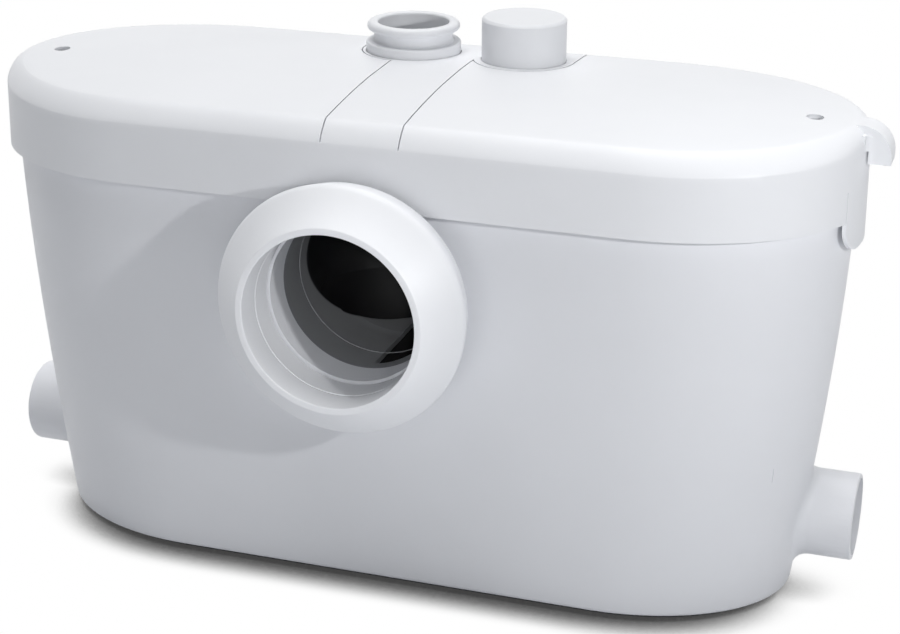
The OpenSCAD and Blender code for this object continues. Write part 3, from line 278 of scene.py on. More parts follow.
def walls(ring_count, size):
    """Faces between rings of equal size that follow one another."""
    faces = []
    for k in range(ring_count - 1):
        for i in range(size):
            j = (i + 1) % size
            faces.append((k * size + i, k * size + j, k * size + size + j, k * size + size + i))
    return faces


def skin(rings):
    size = len(rings[0])
    faces = columns(0) + columns((len(rings) - 1) * size) + walls(len(rings), size)
    return put("skin", [p for ring in rings for p in ring], faces)


# Form of the tank and of the lid
def crest(x, y):
    """Height of the lid's top: level in the middle, falling to the ends and to the front."""
    a = abs(x)
    level = CREST_END_FALL * ((LID_HALF_LENGTH - LID_END) / SCREW_X) ** 2
    slope = 2 * CREST_END_FALL * CREST_KNEE / SCREW_X ** 2
    run = 2 * (CREST_END_FALL * (CREST_KNEE / SCREW_X) ** 2 - level) / slope
    if a > CREST_KNEE:
        fall = CREST_END_FALL * (a / SCREW_X) ** 2
    else:
        fall = level + slope * max(0.0, a - CREST_KNEE + run) ** 2 / (2 * run)
    return CREST_Z - fall - CREST_FRONT_FALL * ((y - CREST_MIDDLE_Y) / CREST_RUN) ** 2


def tank_size(z):
    """Half length, half width and length of the round ends at a height."""
    k = (z - TANK_LOW) / (TANK_HIGH - TANK_LOW)
    bulge = 1 - max(0.0, 1 - k) ** TANK_BULGE
    return tuple(low + gain * share for low, gain, share in zip(TANK_FOOT, TANK_GAIN, (bulge, k, k)))


def tank_ring(z, d):
    return [(x, y, z) for x, y in outline(*(s - d for s in tank_size(z)))]


def end_wall(y, z):
    """How far out the tank's right end stands at a place."""
    hl, hw, ax = tank_size(z)
    return hl - ax + ax * math.sqrt(max(0.0, 1 - (y / hw) ** 2))


def rim_ring(z, d):
    return [(x, y, z) for x, y in outline(*(s - d for s in tank_size(TANK_HIGH)))]


def rim_band(z0, z1, d0, d1):
    outer = skin([rim_ring(z0, d0), rim_ring(z1, d0)])
    return less(outer, skin([rim_ring(z0 - 1, d1), rim_ring(z1 + 1, d1)]))


def lid_outline(k):
    return outline(LID_HALF_LENGTH - k, LID_HALF_WIDTH - k, LID_END - k)


def lid_ring(z, d):
    k = LID_LEAN * (z - LID_EDGE_Z) / (ROUND_Z - LID_EDGE_Z) + d
    return [(x, y, z) for x, y in lid_outline(k)]


def round_ring(f, d):
    """Round edge of the top; at the front it is flatter in the middle, like a soft bevel."""
    r = EDGE_ROUND - d
    ring = []
    for (x0, y0), (x1, y1) in zip(lid_outline(LID_LEAN), lid_outline(LID_LEAN + 1)):
        share = min(1.0, max(0.0, (BEVEL_FROM_Y - y0) / BEVEL_RUN))
        power = 1 + EDGE_BEVEL * share * share * (3 - 2 * share)
        k = d + r * (1 - max(0.0, math.cos(f)) ** power)
        x, y = x0 + k * (x1 - x0), y0 + k * (y1 - y0)
        ring.append((x, y, crest(x, y) - d - r + r * math.sin(f) ** power))
    return ring


def top_ring(t, d):
    return [(x, y, crest(x, y) - d) for x, y in lid_outline(LID_LEAN + t)]


def lid_form(d, low):
    """Lid as a full solid, made smaller by d at its top and by low at its skirt."""
    rings = [lid_ring(z, min(low, TONGUE_T)) for z in (*LID_FOOT_LEVELS, LID_EDGE_Z - STEP)]
    rings += [lid_ring(z, low) for z in (LID_EDGE_Z, *LID_SKIRT_LEVELS)]
    if low != d:
        rings.append(lid_ring(LID_SKIRT_LEVELS[-1] + STEP, d))
    rings += [lid_ring(z, d) for z in LID_NECK_LEVELS]
    rings += [round_ring(math.radians(90 / EDGE_TURNS * i), d) for i in range(EDGE_TURNS + 1)]
    rings += [top_ring(t, d) for t in TOP_RINGS]
    return skin(rings)


def strip(g, z0, z1):
    """Middle strip of the lid as a block, grown by g."""
    h = z1 - z0
    made = block((STRIP_LEFT - g, -FAR, z0), (STRIP_RIGHT + g, OUTLET[1] + 1, z1))
    plus(made, block((OUTLET[0] - OUTLET_SEAT - g, OUTLET[1], z0), (VENT[0] + VENT_SEAT + g, FAR, z1)))
    plus(made, rod("z", (*OUTLET, z0), OUTLET_SEAT + g, h, WIDE_STEPS))
    return plus(made, rod("z", (*VENT, z0), VENT_SEAT + g, h, WIDE_STEPS))


def cover_space(z, g):
    return less(block((-FAR, -FAR, z), (FAR, FAR, SKY)), strip(g, z - 1, SKY + 10))


def spigot_point(k, c, w):
    """Radius and x of ring k in the direction (c, w): root, fillet, pipe and rounded end."""
    far_r = SPIGOT_R + FILLET
    far_x = end_wall(SPIGOT_Y + far_r * c, SPIGOT_Z + far_r * w)
    if k == 0:
        return SPIGOT_ROOT_R, SPIGOT_ROOT
    if k == 1:
        return far_r, far_x - FILLET_SUNK
    if k < FILLET_STEPS + 3:
        u = (k - 2) / FILLET_STEPS
        near_x = end_wall(SPIGOT_Y + SPIGOT_R * c, SPIGOT_Z + SPIGOT_R * w)
        end_x = max(FILLET_X, near_x + FILLET_RUN)
        x = (1 - u) ** 2 * (far_x - FILLET_EDGE) + 2 * u * (1 - u) * near_x + u * u * end_x
        return SPIGOT_R + FILLET * (1 - u) ** 2, x
    back, inward = SPIGOT_LIP[k - FILLET_STEPS - 3]
    return SPIGOT_R - inward, SPIGOT_END - back


def spigot(s):
    """Side inlet with a hollow fillet where it leaves the wall, s = 1 right or -1 left."""
    count = ROUND_STEPS
    ring_count = FILLET_STEPS + 3 + len(SPIGOT_LIP)
    verts = []
    for k in range(ring_count):
        for i in range(count):
            a = 2 * math.pi * i / count
            c, w = math.cos(a), math.sin(a)
            r, x = spigot_point(k, c, w)
            verts.append((s * x, SPIGOT_Y + s * r * c, SPIGOT_Z + r * w))
    ends = [tuple(range(count)), tuple(range(len(verts) - count, len(verts)))]
    return put("spigot", verts, ends + walls(ring_count, count))


def soften(obj, angle=32):
    """Smooth shading, with edges sharper than the angle kept."""
    mesh = obj.data
    mesh.polygons.foreach_set("use_smooth", [True] * len(mesh.polygons))
    mesh.set_sharp_from_angle(angle=math.radians(angle))


def finish_piece(obj, name, body, slot, *stands_for):
    obj.name = name
    obj.data.name = name
    obj.data.transform(Matrix.Scale(METRES, 4))
    soften(obj)
    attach(obj, body)
    if stands_for:
        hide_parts(*stands_for)
    paint(obj, slot)
    return obj


# Materials
def ramp(tree, source, low, high, a, b):
    node = tree.nodes.new("ShaderNodeMapRange")
    node.inputs["From Min"].default_value, node.inputs["From Max"].default_value = low, high
    node.inputs["To Min"].default_value, node.inputs["To Max"].default_value = a, b
    tree.links.new(source, node.inputs["Value"])
    return node.outputs["Result"]


def noise(tree, where, scale, detail, stretch):
    if stretch:
        mapping = tree.nodes.new("ShaderNodeMapping")
        mapping.inputs["Scale"].default_value = stretch
        tree.links.new(where, mapping.inputs["Vector"])
        where = mapping.outputs["Vector"]
    node = tree.nodes.new("ShaderNodeTexNoise")
    node.inputs["Scale"].default_value = scale
    node.inputs["Detail"].default_value = detail
    tree.links.new(where, node.inputs["Vector"])
    return node.outputs["Fac"]


# Part of the noise's range that the patches spread over, and depth of the grain in metres
PATCH_LOW, PATCH_HIGH, GRAIN_DEPTH = 0.3, 0.7, 0.0001
# Detail of the noise for colour, roughness and grain, and how much finer roughness is than colour
TINT_DETAIL, ROUGH_DETAIL, GRAIN_DETAIL, ROUGH_FINER = 3.0, 5.0, 6.0, 2.5


def surface(name, low, high, rough, grain, bump, metal=0.0, stretch=None, shine=0.5, patch=14.0):
    """Two close colours in soft patches, roughness that varies and a fine moulded or ground grain."""
    mat = bpy.data.materials.new(name)
    mat.use_nodes = True
    tree = mat.node_tree
    shader = tree.nodes["Principled BSDF"]
    where = tree.nodes.new("ShaderNodeTexCoord").outputs["Object"]
    tint = tree.nodes.new("ShaderNodeValToRGB")
    for stop, place, colour in zip(tint.color_ramp.elements, (PATCH_LOW, PATCH_HIGH), (low, high)):
        stop.position = place
        stop.color = (*colour, 1)
    tree.links.new(noise(tree, where, patch, TINT_DETAIL, stretch), tint.inputs["Fac"])
    tree.links.new(tint.outputs["Color"], shader.inputs["Base Color"])
    blotches = noise(tree, where, patch * ROUGH_FINER, ROUGH_DETAIL, stretch)
    tree.links.new(ramp(tree, blotches, PATCH_LOW, PATCH_HIGH, *rough), shader.inputs["Roughness"])
    relief = tree.nodes.new("ShaderNodeBump")
    relief.inputs["Strength"].default_value = bump
    relief.inputs["Distance"].default_value = GRAIN_DEPTH
    tree.links.new(noise(tree, where, grain, GRAIN_DETAIL, stretch), relief.inputs["Height"])
    tree.links.new(relief.outputs["Normal"], shader.inputs["Normal"])
    shader.inputs["Metallic"].default_value = metal
    shader.inputs["Specular IOR Level"].default_value = shine
    return mat


# Name, darker and lighter colour, range of roughness, grain, relief, and what else differs
LOOKS = {name: surface(name, *look, **more) for name, look, more in (
    ("mat_rubber", ((0.035, 0.035, 0.038), (0.055, 0.055, 0.06), (0.75, 0.9), 900, 0.5), {}),
    ("tank_white", ((0.80, 0.81, 0.84), (0.82, 0.83, 0.86), (0.36, 0.46), 1400, 0.10), {"shine": 0.35}),
    ("seal_rubber", ((0.02, 0.02, 0.022), (0.04, 0.04, 0.043), (0.6, 0.8), 900, 0.4), {}),
    ("lid_white", ((0.82, 0.83, 0.855), (0.84, 0.85, 0.875), (0.36, 0.46), 1400, 0.08), {"shine": 0.35}),
    ("cover_white", ((0.83, 0.84, 0.865), (0.85, 0.86, 0.885), (0.36, 0.46), 1400, 0.08), {"shine": 0.35}),
    ("screw_steel", ((0.42, 0.43, 0.45), (0.55, 0.56, 0.58), (0.3, 0.45), 1200, 0.3), {"metal": 1.0}),
    ("sleeve_white", ((0.84, 0.85, 0.875), (0.86, 0.87, 0.895), (0.4, 0.5), 1200, 0.08), {"shine": 0.35}),
    ("grey_plastic", ((0.24, 0.245, 0.255), (0.28, 0.285, 0.295), (0.45, 0.6), 1300, 0.25), {}),
    ("carbon", ((0.01, 0.01, 0.01), (0.035, 0.035, 0.035), (0.85, 0.98), 420, 1.0), {}),
    ("dark_plastic", ((0.07, 0.075, 0.085), (0.095, 0.1, 0.11), (0.42, 0.58), 1300, 0.3), {}),
    ("cream_plastic", ((0.69, 0.65, 0.55), (0.74, 0.7, 0.6), (0.42, 0.55), 1300, 0.2), {}),
    ("blade_steel", ((0.55, 0.56, 0.58), (0.66, 0.67, 0.69), (0.22, 0.42), 700, 0.35),
     {"metal": 1.0, "stretch": (1.0, 12.0, 1.0)}),
    ("motor_grey", ((0.18, 0.19, 0.21), (0.22, 0.23, 0.25), (0.38, 0.52), 800, 0.4), {}),
    ("core_iron", ((0.11, 0.11, 0.12), (0.2, 0.2, 0.21), (0.45, 0.6), 260, 0.7),
     {"metal": 0.9, "stretch": (0.4, 0.4, 9.0)}),
    ("winding_copper", ((0.46, 0.19, 0.07), (0.62, 0.28, 0.11), (0.25, 0.4), 240, 0.9),
     {"metal": 0.85, "stretch": (1.0, 1.0, 7.0)}),
    ("pipe_plastic", ((0.59, 0.6, 0.62), (0.65, 0.66, 0.68), (0.4, 0.55), 1300, 0.2), {}),
    ("can_aluminium", ((0.64, 0.65, 0.67), (0.76, 0.77, 0.79), (0.25, 0.4), 600, 0.3),
     {"metal": 1.0, "stretch": (1.0, 1.0, 0.08)}),
)}


def paint(obj, slot):
    obj.data.materials.clear()
    obj.data.materials.append(LOOKS[slot])


for part in frame["record"]["subparts"]:
    paint(nodes[part["node"]], part["material_slot"])
    soften(nodes[part["node"]])

# The grey plastic is painted shade beyond a slanted line, where the duct's deep bend lies unlit: its colour
# fades to near black between two values of y - x in metres
PAINTED_SHADE, SHADE_FROM, SHADE_TO = (0.006, 0.006, 0.007, 1), 0.0115, 0.0135
duct_tree = LOOKS["grey_plastic"].node_tree
duct_shader = duct_tree.nodes["Principled BSDF"]
plain = duct_shader.inputs["Base Color"].links[0].from_socket
split = duct_tree.nodes.new("ShaderNodeSeparateXYZ")
duct_tree.links.new(duct_tree.nodes["Texture Coordinate"].outputs["Object"], split.inputs["Vector"])
slant = duct_tree.nodes.new("ShaderNodeMath")
slant.operation = "SUBTRACT"
duct_tree.links.new(split.outputs["Y"], slant.inputs[0])
duct_tree.links.new(split.outputs["X"], slant.inputs[1])
# Painted shade: near black mixed over the plastic's own colour beyond the slanted line
painted_shade = duct_tree.nodes.new("ShaderNodeMix")
painted_shade.data_type = "RGBA"
painted_shade.inputs["B"].default_value = PAINTED_SHADE
behind = ramp(duct_tree, slant.outputs["Value"], SHADE_FROM, SHADE_TO, 0.0, 1.0)
duct_tree.links.new(behind, painted_shade.inputs["Factor"])
duct_tree.links.new(plain, painted_shade.inputs["A"])
duct_tree.links.new(painted_shade.outputs["Result"], duct_shader.inputs["Base Color"])

# Tank with its foot's round edge, side inlets and inside
foot_turns = [math.radians(90 / FOOT_STEPS * i) for i in range(FOOT_STEPS + 1)]
tank = skin([tank_ring(TANK_LOW + TANK_ROUND * (1 - math.cos(f)), TANK_ROUND * (1 - math.sin(f)))
             for f in foot_turns] + [tank_ring(z, 0) for z in TANK_LEVELS])
plus(tank, spigot(1), spigot(-1))
less(tank, skin([tank_ring(z, TANK_WALL) for z in INNER_LEVELS]))

# Inner ends of the side inlets, with the lugs of their flaps
spigot_reach = SPIGOT_END - SPIGOT_LIP[-1][1]
for s in (-1, 1):
    start = SPIGOT_ROOT if s > 0 else -spigot_reach
    plus(tank, rod("x", (start, SPIGOT_Y, SPIGOT_Z), SPIGOT_R, spigot_reach - SPIGOT_ROOT))
    for y in (SPIGOT_Y - LUG_OFF, SPIGOT_Y + LUG_OFF):
        for lug_x, low in LUG_STEPS:
            x0, x1 = sorted((s * lug_x, s * LUG_FAR))
            plus(tank, block((x0, y - LUG_HALF, low), (x1, y + LUG_HALF, LUG_TOP)))

# Neck, posts and bores of the tank
neck = [(0, NECK_FRONT), (NECK_R - NECK_EDGE, NECK_FRONT), (NECK_R - NECK_BEVEL, NECK_FRONT + NECK_BEVEL)]
neck += [(NECK_R, NECK_FRONT + NECK_EDGE), (NECK_R, NECK_BACK), (0, NECK_BACK)]
plus(tank, turned(neck, "y", INLET_AXIS, FINE_STEPS))
for x in POST_X:
    for y in POST_Y:
        plus(tank, rod("z", (x, y, POST_LOW), POST_R, POST_LENGTH, POST_STEPS))
        less(tank, rod("z", (x, y, POST_HOLE_LOW), POST_HOLE, POST_HOLE_RUN, PIN_STEPS))
less(tank, rod("x", (-FAR, SPIGOT_Y, SPIGOT_Z), SPIGOT_BORE, 2 * FAR),
     rod("y", (INLET[0], NECK_FRONT - 1, INLET[1]), SHANK_BORE, SHANK_DEPTH, FINE_STEPS),
     rod("y", (INLET[0], DUCT_FRONT, INLET[1]), DUCT_R, DUCT_CUT, FINE_STEPS))
for s in (-1, 1):
    less(tank, rod("y", (s * PIN_X, SPIGOT_Y - PIN_HALF, PIN_Z), PIN_HOLE, 2 * PIN_HALF, PIN_STEPS))

# Small raised triangle on the tank
mark = []
for height in (MARK_SUNK, MARK_PROUD):
    for turn, z in MARK:
        hl, hw, ax = tank_size(z)
        a = math.radians(turn)
        out = Vector((math.cos(a) / ax, math.sin(a) / hw)).normalized() * height
        mark.append((hl - ax + ax * math.cos(a) + out.x, hw * math.sin(a) + out.y, z))
plus(tank, put("mark", mark, [(0, 1, 2), (3, 4, 5), (0, 1, 4, 3), (1, 2, 5, 4), (2, 0, 3, 5)]))
finish_piece(tank, "tank_shell", "tank", "tank_white", "tank")

# Lid with its middle strip, deck and seats
lid = less(lid_form(0, 0), lid_form(LID_TOP_T, LID_WALL))
less(lid, less(cover_space(COVER_EDGE_Z, 0), lid_form(DECK_DEPTH, DECK_DEPTH)))
plus(lid, rim_band(RIM_LOW, RIM_HIGH, RIM_CLEAR, RIM_DEPTH))
for s in (-1, 1):
    well_seat = rod("z", (s * SCREW_X, SCREW_Y, WELL_SEAT_Z), WELL_SEAT_R, WELL_Z + WELL_OVER - WELL_SEAT_Z)
    plus(lid, well_seat)
plus(lid, rod("z", (*VENT, VENT_PIPE_Z), VENT_PIPE_R, VENT_PIPE_LENGTH),
     rod("z", (*VENT, VENT_PAD_Z), VENT_PAD_R, PAD_T),
     rod("z", (*OUTLET, OUTLET_PAD_Z), OUTLET_PAD_R, PAD_T))

# Snap tongue with its two slits
below = block((-FAR, -FAR, BELOW_LID_Z), (FAR, FAR, LID_EDGE_Z))
inner = TONGUE_HALF - TONGUE_ROUND
tongue_out = TONGUE_IN + TONGUE_REACH
tongue = block((TONGUE_IN, -TONGUE_HALF, TONGUE_LOW + TONGUE_ROUND), (tongue_out, TONGUE_HALF, TONGUE_TOP))
plus(tongue, block((TONGUE_IN, -inner, TONGUE_LOW), (tongue_out, inner, TONGUE_FOOT_TOP)))
for t in (-inner, inner):
    plus(tongue, rod("x", (TONGUE_IN, t, TONGUE_LOW + TONGUE_ROUND), TONGUE_ROUND, TONGUE_REACH))
less(lid, less(below, tongue))
for y in (-TONGUE_HALF - SLIT, TONGUE_HALF):
    less(lid, block((SLIT_X[0], y, SLIT_LOW), (SLIT_X[1], y + SLIT, LID_EDGE_Z + SLIT_RISE)))

# Holes of the lid
notch_depth = FAR - LID_HALF_WIDTH + LID_LEAN + LID_WALL
less(lid, rod("y", (INLET[0], -FAR, INLET[1]), NOTCH_R, notch_depth, FINE_STEPS))
for s in (-1, 1):
    less(lid, rod("z", (s * SCREW_X, SCREW_Y, WELL_Z), WELL_R, CUT_RUN),
         rod("z", (s * SCREW_X, SCREW_Y, DECK_CUT_Z), SCREW_HOLE, CUT_RUN))
for x in ACCESS_X:
    less(lid, rod("z", (x, 0, DECK_CUT_Z), ACCESS_R, CUT_RUN, WIDE_STEPS))
less(lid, rod("z", (*OUTLET, COLLAR_Z), COLLAR_SEAT_R, CUT_RUN),
     rod("z", (*OUTLET, DECK_CUT_Z), OUTLET_HOLE, CUT_RUN))
cap_seat = [(VENT_PIPE_R, CAP_Z), (CAP_SEAT_R, CAP_Z)]
cap_seat += [(CAP_SEAT_R, CAP_SEAT_TOP), (VENT_PIPE_R, CAP_SEAT_TOP)]
less(lid, turned(cap_seat, "z", (*VENT, 0)),
     rod("z", (*VENT, VENT_CUP_Z), VENT_CUP_R, CUT_RUN),
     rod("z", (*VENT, DECK_CUT_Z), VENT_HOLE, CUT_RUN))
less(lid, rod("x", (GLAND_IN, 0, GLAND_Z), GLAND_HOLE, CUT_RUN, GLAND_STEPS),
     rod("x", (GLAND_X, 0, GLAND_Z), GLAND_SEAT, CUT_RUN, GLAND_STEPS))
finish_piece(lid, "lid_shell", "tank", "lid_white", "lid")


# Covers
def hood_bar(r, h, z):
    made = rod("y", (HOOD_X, -h, HOOD_Z), r, 2 * h, WIDE_STEPS)
    plus(made, block((HOOD_X - HOOD_RUN, -h, z), (HOOD_X + r, h, HOOD_Z)))
    return plus(made, block((HOOD_X - HOOD_RUN, -h, z), (HOOD_X, h, HOOD_Z + r)))


def hood_foot():
    """Wider foot of the hood, whose sides sweep in to the hood's own width."""
    made = hood_bar(FOOT_R, FOOT_HALF, HOOD_LOW)
    less(made, block((0, -FAR, 0), (HOOD_X - FOOT_RUN, FAR, SKY)))
    flare_x = FOOT_FRONT + FOOT_FLARE
    for t in (-1, 1):
        less(made, rod("z", (flare_x, t * FOOT_HALF, 0), FOOT_FLARE, SKY))
        y0, y1 = sorted((t * (FOOT_HALF - FOOT_FLARE), t * FAR))
        less(made, block((flare_x, y0, 0), (FAR, y1, SKY)))
    return made


for s, side_name in ((-1, "left_cover"), (1, "right_cover")):
    cover = less(lid_form(0, 0), lid_form(COVER_T, COVER_T))
    half_x = sorted((0, s * FAR))
    within(cover, cover_space(COVER_EDGE_Z, SEAM), block((half_x[0], -FAR, 0), (half_x[1], FAR, SKY)))
    plus(cover, rod("z", (s * SCREW_X, SCREW_Y, WELL_Z + BOSS_GAP), BOSS_R, BOSS_LENGTH))
    less(cover, rod("z", (s * SCREW_X, SCREW_Y, WELL_Z + BOSS_FLOOR), HEAD_R, CUT_RUN),
         rod("z", (s * SCREW_X, SCREW_Y, WELL_Z - 1), COVER_HOLE, CUT_RUN))
    if s > 0:
        hood = plus(hood_bar(HOOD_R, HOOD_HALF, HOOD_LOW), hood_foot())
        within(hood, block((0, -FAR, HOOD_LOW), (FAR, FAR, SKY)))
        less(hood, lid_form(COVER_T, COVER_T), block((0, -FAR, 0), (HOOD_FACE, FAR, COVER_EDGE_Z)))
        plus(cover, hood)
        less(cover, hood_bar(HOOD_IN_R, HOOD_IN_HALF, HOOD_IN_LOW))
    finish_piece(cover, side_name + "_shell", side_name, "cover_white", side_name)

# Pan sleeve: flat mouth, cone with a soft edge to its tapered band, and a fine groove in its bore
sleeve = arc(SLEEVE_BORE + MOUTH_ROUND, MOUTH_Y + MOUTH_ROUND, MOUTH_ROUND, 180, 270, 5)
sleeve += arc(MOUTH_EDGE_R, MOUTH_Y + MOUTH_EDGE, MOUTH_EDGE, 270, CONE_TURN, 5)
sleeve += bend(CONE_END, (FLANGE_R, FLANGE_Y), BAND_START)
sleeve += [*BAND_END, (FLANGE_R - BAND_FALL - FLANGE_T, SLEEVE_BACK), (FLANGE_R - FLANGE_T, FLANGE_Y + 1)]
sleeve += [(SLEEVE_SHANK, SHANK_ROOT), (SLEEVE_SHANK, SLEEVE_BACK), (SLEEVE_BORE, SLEEVE_BACK)]
sleeve += [(SLEEVE_BORE, GROOVE_Y + GROOVE_HALF), (SLEEVE_BORE + GROOVE_DEPTH, GROOVE_Y + GROOVE_FLAT),
           (SLEEVE_BORE + GROOVE_DEPTH, GROOVE_Y - GROOVE_FLAT), (SLEEVE_BORE, GROOVE_Y - GROOVE_HALF)]
finish_piece(turned(sleeve, "y", INLET_AXIS, MOUTH_STEPS), "pan_sleeve", "tank", "sleeve_white",
             "inlet_sleeve")

# Fine ridge round the inside of the dark duct
ridge = [(RIDGE_OUT, RIDGE_Y - RIDGE_HALF), (RIDGE_IN, RIDGE_Y - RIDGE_FLAT),
         (RIDGE_IN, RIDGE_Y + RIDGE_FLAT), (RIDGE_OUT, RIDGE_Y + RIDGE_HALF)]
finish_piece(turned(ridge, "y", INLET_AXIS, FINE_STEPS), "duct_ridge", "tank", "grey_plastic")

# Outlet collar: shank, broad foot, waist and rounded lip
waist_r = COLLAR_SHANK + WAIST_ROUND
collar = [(COLLAR_BORE, COLLAR_LOW), (COLLAR_SHANK - COLLAR_BEVEL, COLLAR_LOW)]
collar += [(COLLAR_SHANK, COLLAR_LOW + COLLAR_BEVEL), (COLLAR_SHANK, COLLAR_Z)]
collar += [(COLLAR_FOOT_R + r, COLLAR_Z + z) for r, z in FOOT_EDGE]
collar += arc(COLLAR_FOOT_R - COLLAR_FOOT_ROUND, COLLAR_FOOT_TOP - COLLAR_FOOT_ROUND,
              COLLAR_FOOT_ROUND, 0, 90, 4)
collar += [(waist_r, COLLAR_FOOT_TOP)]
collar += arc(waist_r, COLLAR_FOOT_TOP + WAIST_ROUND, WAIST_ROUND, 270, 180, 4)
collar += [(COLLAR_SHANK, WAIST_TOP), (COLLAR_SHANK + WAIST_BEVEL, WAIST_TOP + WAIST_BEVEL)]
collar += arc(BEAD_R, COLLAR_TOP - BEAD, BEAD, -60, 90, 15)
collar += arc(COLLAR_BORE + BEAD_IN, COLLAR_TOP - BEAD_IN, BEAD_IN, 90, 180, 4)
finish_piece(turned(collar, "z", (*OUTLET, 0), FINE_STEPS), "collar", "tank", "lid_white", "outlet_collar")

# Vent cap with a bevelled edge and a flat top
cap = [(CAP_IN_R, CAP_Z), (CAP_R - CAP_FOOT, CAP_Z), (CAP_R, CAP_Z + CAP_FOOT), (CAP_R, CAP_SIDE_END)]
for steps in (CAP_LOW_BEND, CAP_HIGH_BEND):
    cap += bend(*((CAP_R - inward, CAP_TOP - down) for inward, down in steps), 4)
cap += [(CAP_FLAT_R, CAP_TOP), (0, CAP_TOP), (0, CAP_IN_TOP)]
cap += [(CAP_IN_R - CAP_CORNER, CAP_IN_TOP), (CAP_IN_R, CAP_IN_TOP - CAP_CORNER)]
finish_piece(turned(cap, "z", (*VENT, 0), FINE_STEPS), "cap", "vent_cap", "lid_white", "vent_cap")


# Floor, light and camera, in metres
def by_ray(tree, lit, seen, out):
    """Camera, mirror and glass rays meet one shader, and the light that falls on the object the other."""
    mix = tree.nodes.new("ShaderNodeMixShader")
    path = tree.nodes.new("ShaderNodeLightPath")
    total = path.outputs["Is Camera Ray"]
    for name in ("Is Glossy Ray", "Is Transmission Ray"):
        both = tree.nodes.new("ShaderNodeMath")
        both.operation = "MAXIMUM"
        tree.links.new(total, both.inputs[0])
        tree.links.new(path.outputs[name], both.inputs[1])
        total = both.outputs["Value"]
    tree.links.new(total, mix.inputs["Fac"])
    tree.links.new(lit, mix.inputs[1])
    tree.links.new(seen, mix.inputs[2])
    tree.links.new(mix.outputs["Shader"], out.inputs["Surface"])


def background(tree, tint, strength):
    node = tree.nodes.new("ShaderNodeBackground")
    node.inputs["Color"].default_value = (*tint, 1)
    node.inputs["Strength"].default_value = strength
    return node.outputs["Background"]


# The floor is white with a contact shadow, which leans to the front and fades in these steps
FLOOR_HALF, SHADOW_REACH, SHADOW_LEAN, SHADOW_SAMPLES = 6.0, 0.030, math.radians(-60), 16
SHADOW_TONES = ((0.29, 0.04), (0.42, 0.25), (0.49, 0.44), (0.55, 0.62), (0.65, 0.86), (0.76, 0.97),
                (0.85, 1.0))

floor_mat = surface("floor_white", (0.59, 0.60, 0.62), (0.61, 0.62, 0.64), (0.8, 0.9), 300, 0.02)
tree = floor_mat.node_tree
lean = tree.nodes.new("ShaderNodeVectorRotate")
lean.rotation_type = "X_AXIS"
lean.inputs["Angle"].default_value = SHADOW_LEAN
tree.links.new(tree.nodes.new("ShaderNodeNewGeometry").outputs["Normal"], lean.inputs["Vector"])
near = tree.nodes.new("ShaderNodeAmbientOcclusion")
near.inputs["Distance"].default_value = SHADOW_REACH
near.samples = SHADOW_SAMPLES
tree.links.new(lean.outputs["Vector"], near.inputs["Normal"])
tone = tree.nodes.new("ShaderNodeValToRGB")
stops = tone.color_ramp.elements
stops[0].position, stops[1].position = SHADOW_TONES[0][0], SHADOW_TONES[-1][0]
for place, _ in SHADOW_TONES[1:-1]:
    stops.new(place)
for stop, (_, level) in zip(stops, SHADOW_TONES):
    stop.color = (level, level, level, 1)
tree.links.new(near.outputs["AO"], tone.inputs["Fac"])
pale = tree.nodes.new("ShaderNodeEmission")
pale.inputs["Strength"].default_value = 1.0
tree.links.new(tone.outputs["Color"], pale.inputs["Color"])
lit_floor = tree.nodes["Principled BSDF"].outputs["BSDF"]
by_ray(tree, lit_floor, pale.outputs["Emission"], tree.nodes["Material Output"])
corners = [(x * FLOOR_HALF, y * FLOOR_HALF, 0) for x, y in ((-1, -1), (1, -1), (1, 1), (-1, 1))]
floor = put("floor", corners, [(0, 1, 2, 3)])
floor.data.materials.append(floor_mat)

# Soft cool surroundings, which look white
WORLD_TINT, WORLD_STRENGTH = (0.90, 0.94, 1.0), 0.12
world = bpy.data.worlds.new("studio")
bpy.context.scene.world = world
world.use_nodes = True
world.node_tree.nodes.clear()
by_ray(world.node_tree, background(world.node_tree, WORLD_TINT, WORLD_STRENGTH),
       background(world.node_tree, (1, 1, 1), 1.0), world.node_tree.nodes.new("ShaderNodeOutputWorld"))

# Softness of the lamps
SPOT_BLEND, SPOT_SIZE, SUN_ANGLE = 0.25, 0.02, 0.6


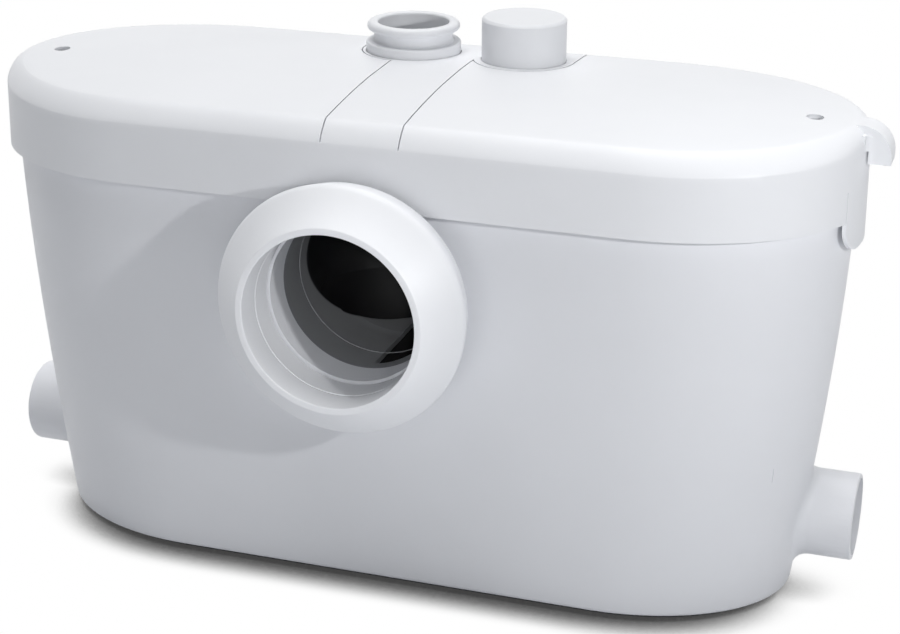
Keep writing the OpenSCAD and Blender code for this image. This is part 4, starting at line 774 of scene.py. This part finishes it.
def lamp(kind, name, place, aim, power, size):
    """Lamp at a place and pointed at another; size is an angle for a sun or spot, else a width."""
    data = bpy.data.lights.new(name, kind)
    data.energy = power
    if kind == "SUN":
        data.angle = size
    elif kind == "SPOT":
        data.spot_size, data.spot_blend, data.shadow_soft_size = size, SPOT_BLEND, SPOT_SIZE
    else:
        data.shape, data.size = "DISK", size
    obj = bpy.data.objects.new(name, data)
    obj.location = place
    obj.rotation_euler = (Vector(aim) - Vector(place)).to_track_quat("-Z", "Y").to_euler()
    bpy.context.scene.collection.objects.link(obj)


FLOOR_MIDDLE = (0.0, 0.0, 0.0)
MOUTH = (INLET[0] * METRES, -0.12, INLET[1] * METRES)
TANK_FRONT = (0.0, -0.08, 0.05)
lamp("SUN", "overhead", (-0.25, 0.0, 1.75), FLOOR_MIDDLE, 1.85, SUN_ANGLE)
lamp("SUN", "overhead_back", (0.0, 1.0, 1.75), FLOOR_MIDDLE, 0.65, SUN_ANGLE)
lamp("AREA", "key", (0.563, -0.416, 0.437), MOUTH, 1.43, 0.03)
lamp("AREA", "fill", (0.45, -1.6, 0.85), MOUTH, 2.1, 0.9)
lamp("AREA", "low_fill", (-0.05, -1.3, 0.10), TANK_FRONT, 0.8, 0.5)
lamp("SPOT", "inlet_light", (0.40, -1.15, 0.62), MOUTH, 12.0, math.radians(5.2))

# Camera: place in metres, then its turn, downward tilt and roll in radians
CAMERA_PLACE = (0.3599, -1.0574, 0.5729)
CAMERA_TURN, CAMERA_TILT, CAMERA_ROLL = 0.3127, 0.372, 0.00757
CAMERA_LENS, CAMERA_SENSOR, CAMERA_NEAR, CAMERA_FAR = 81.8, 36.0, 0.01, 50.0
camera = bpy.data.objects.new("camera", bpy.data.cameras.new("camera"))
camera.data.lens, camera.data.sensor_width = CAMERA_LENS, CAMERA_SENSOR
camera.data.clip_start, camera.data.clip_end = CAMERA_NEAR, CAMERA_FAR
camera.location = CAMERA_PLACE
aim = Matrix.Rotation(CAMERA_TURN, 4, "Z") @ Matrix.Rotation(math.pi / 2 - CAMERA_TILT, 4, "X")
camera.rotation_euler = (aim @ Matrix.Rotation(CAMERA_ROLL, 4, "Z")).to_euler()
bpy.context.scene.collection.objects.link(camera)
scene = bpy.context.scene
scene.camera = camera
scene.view_settings.view_transform = "Standard"
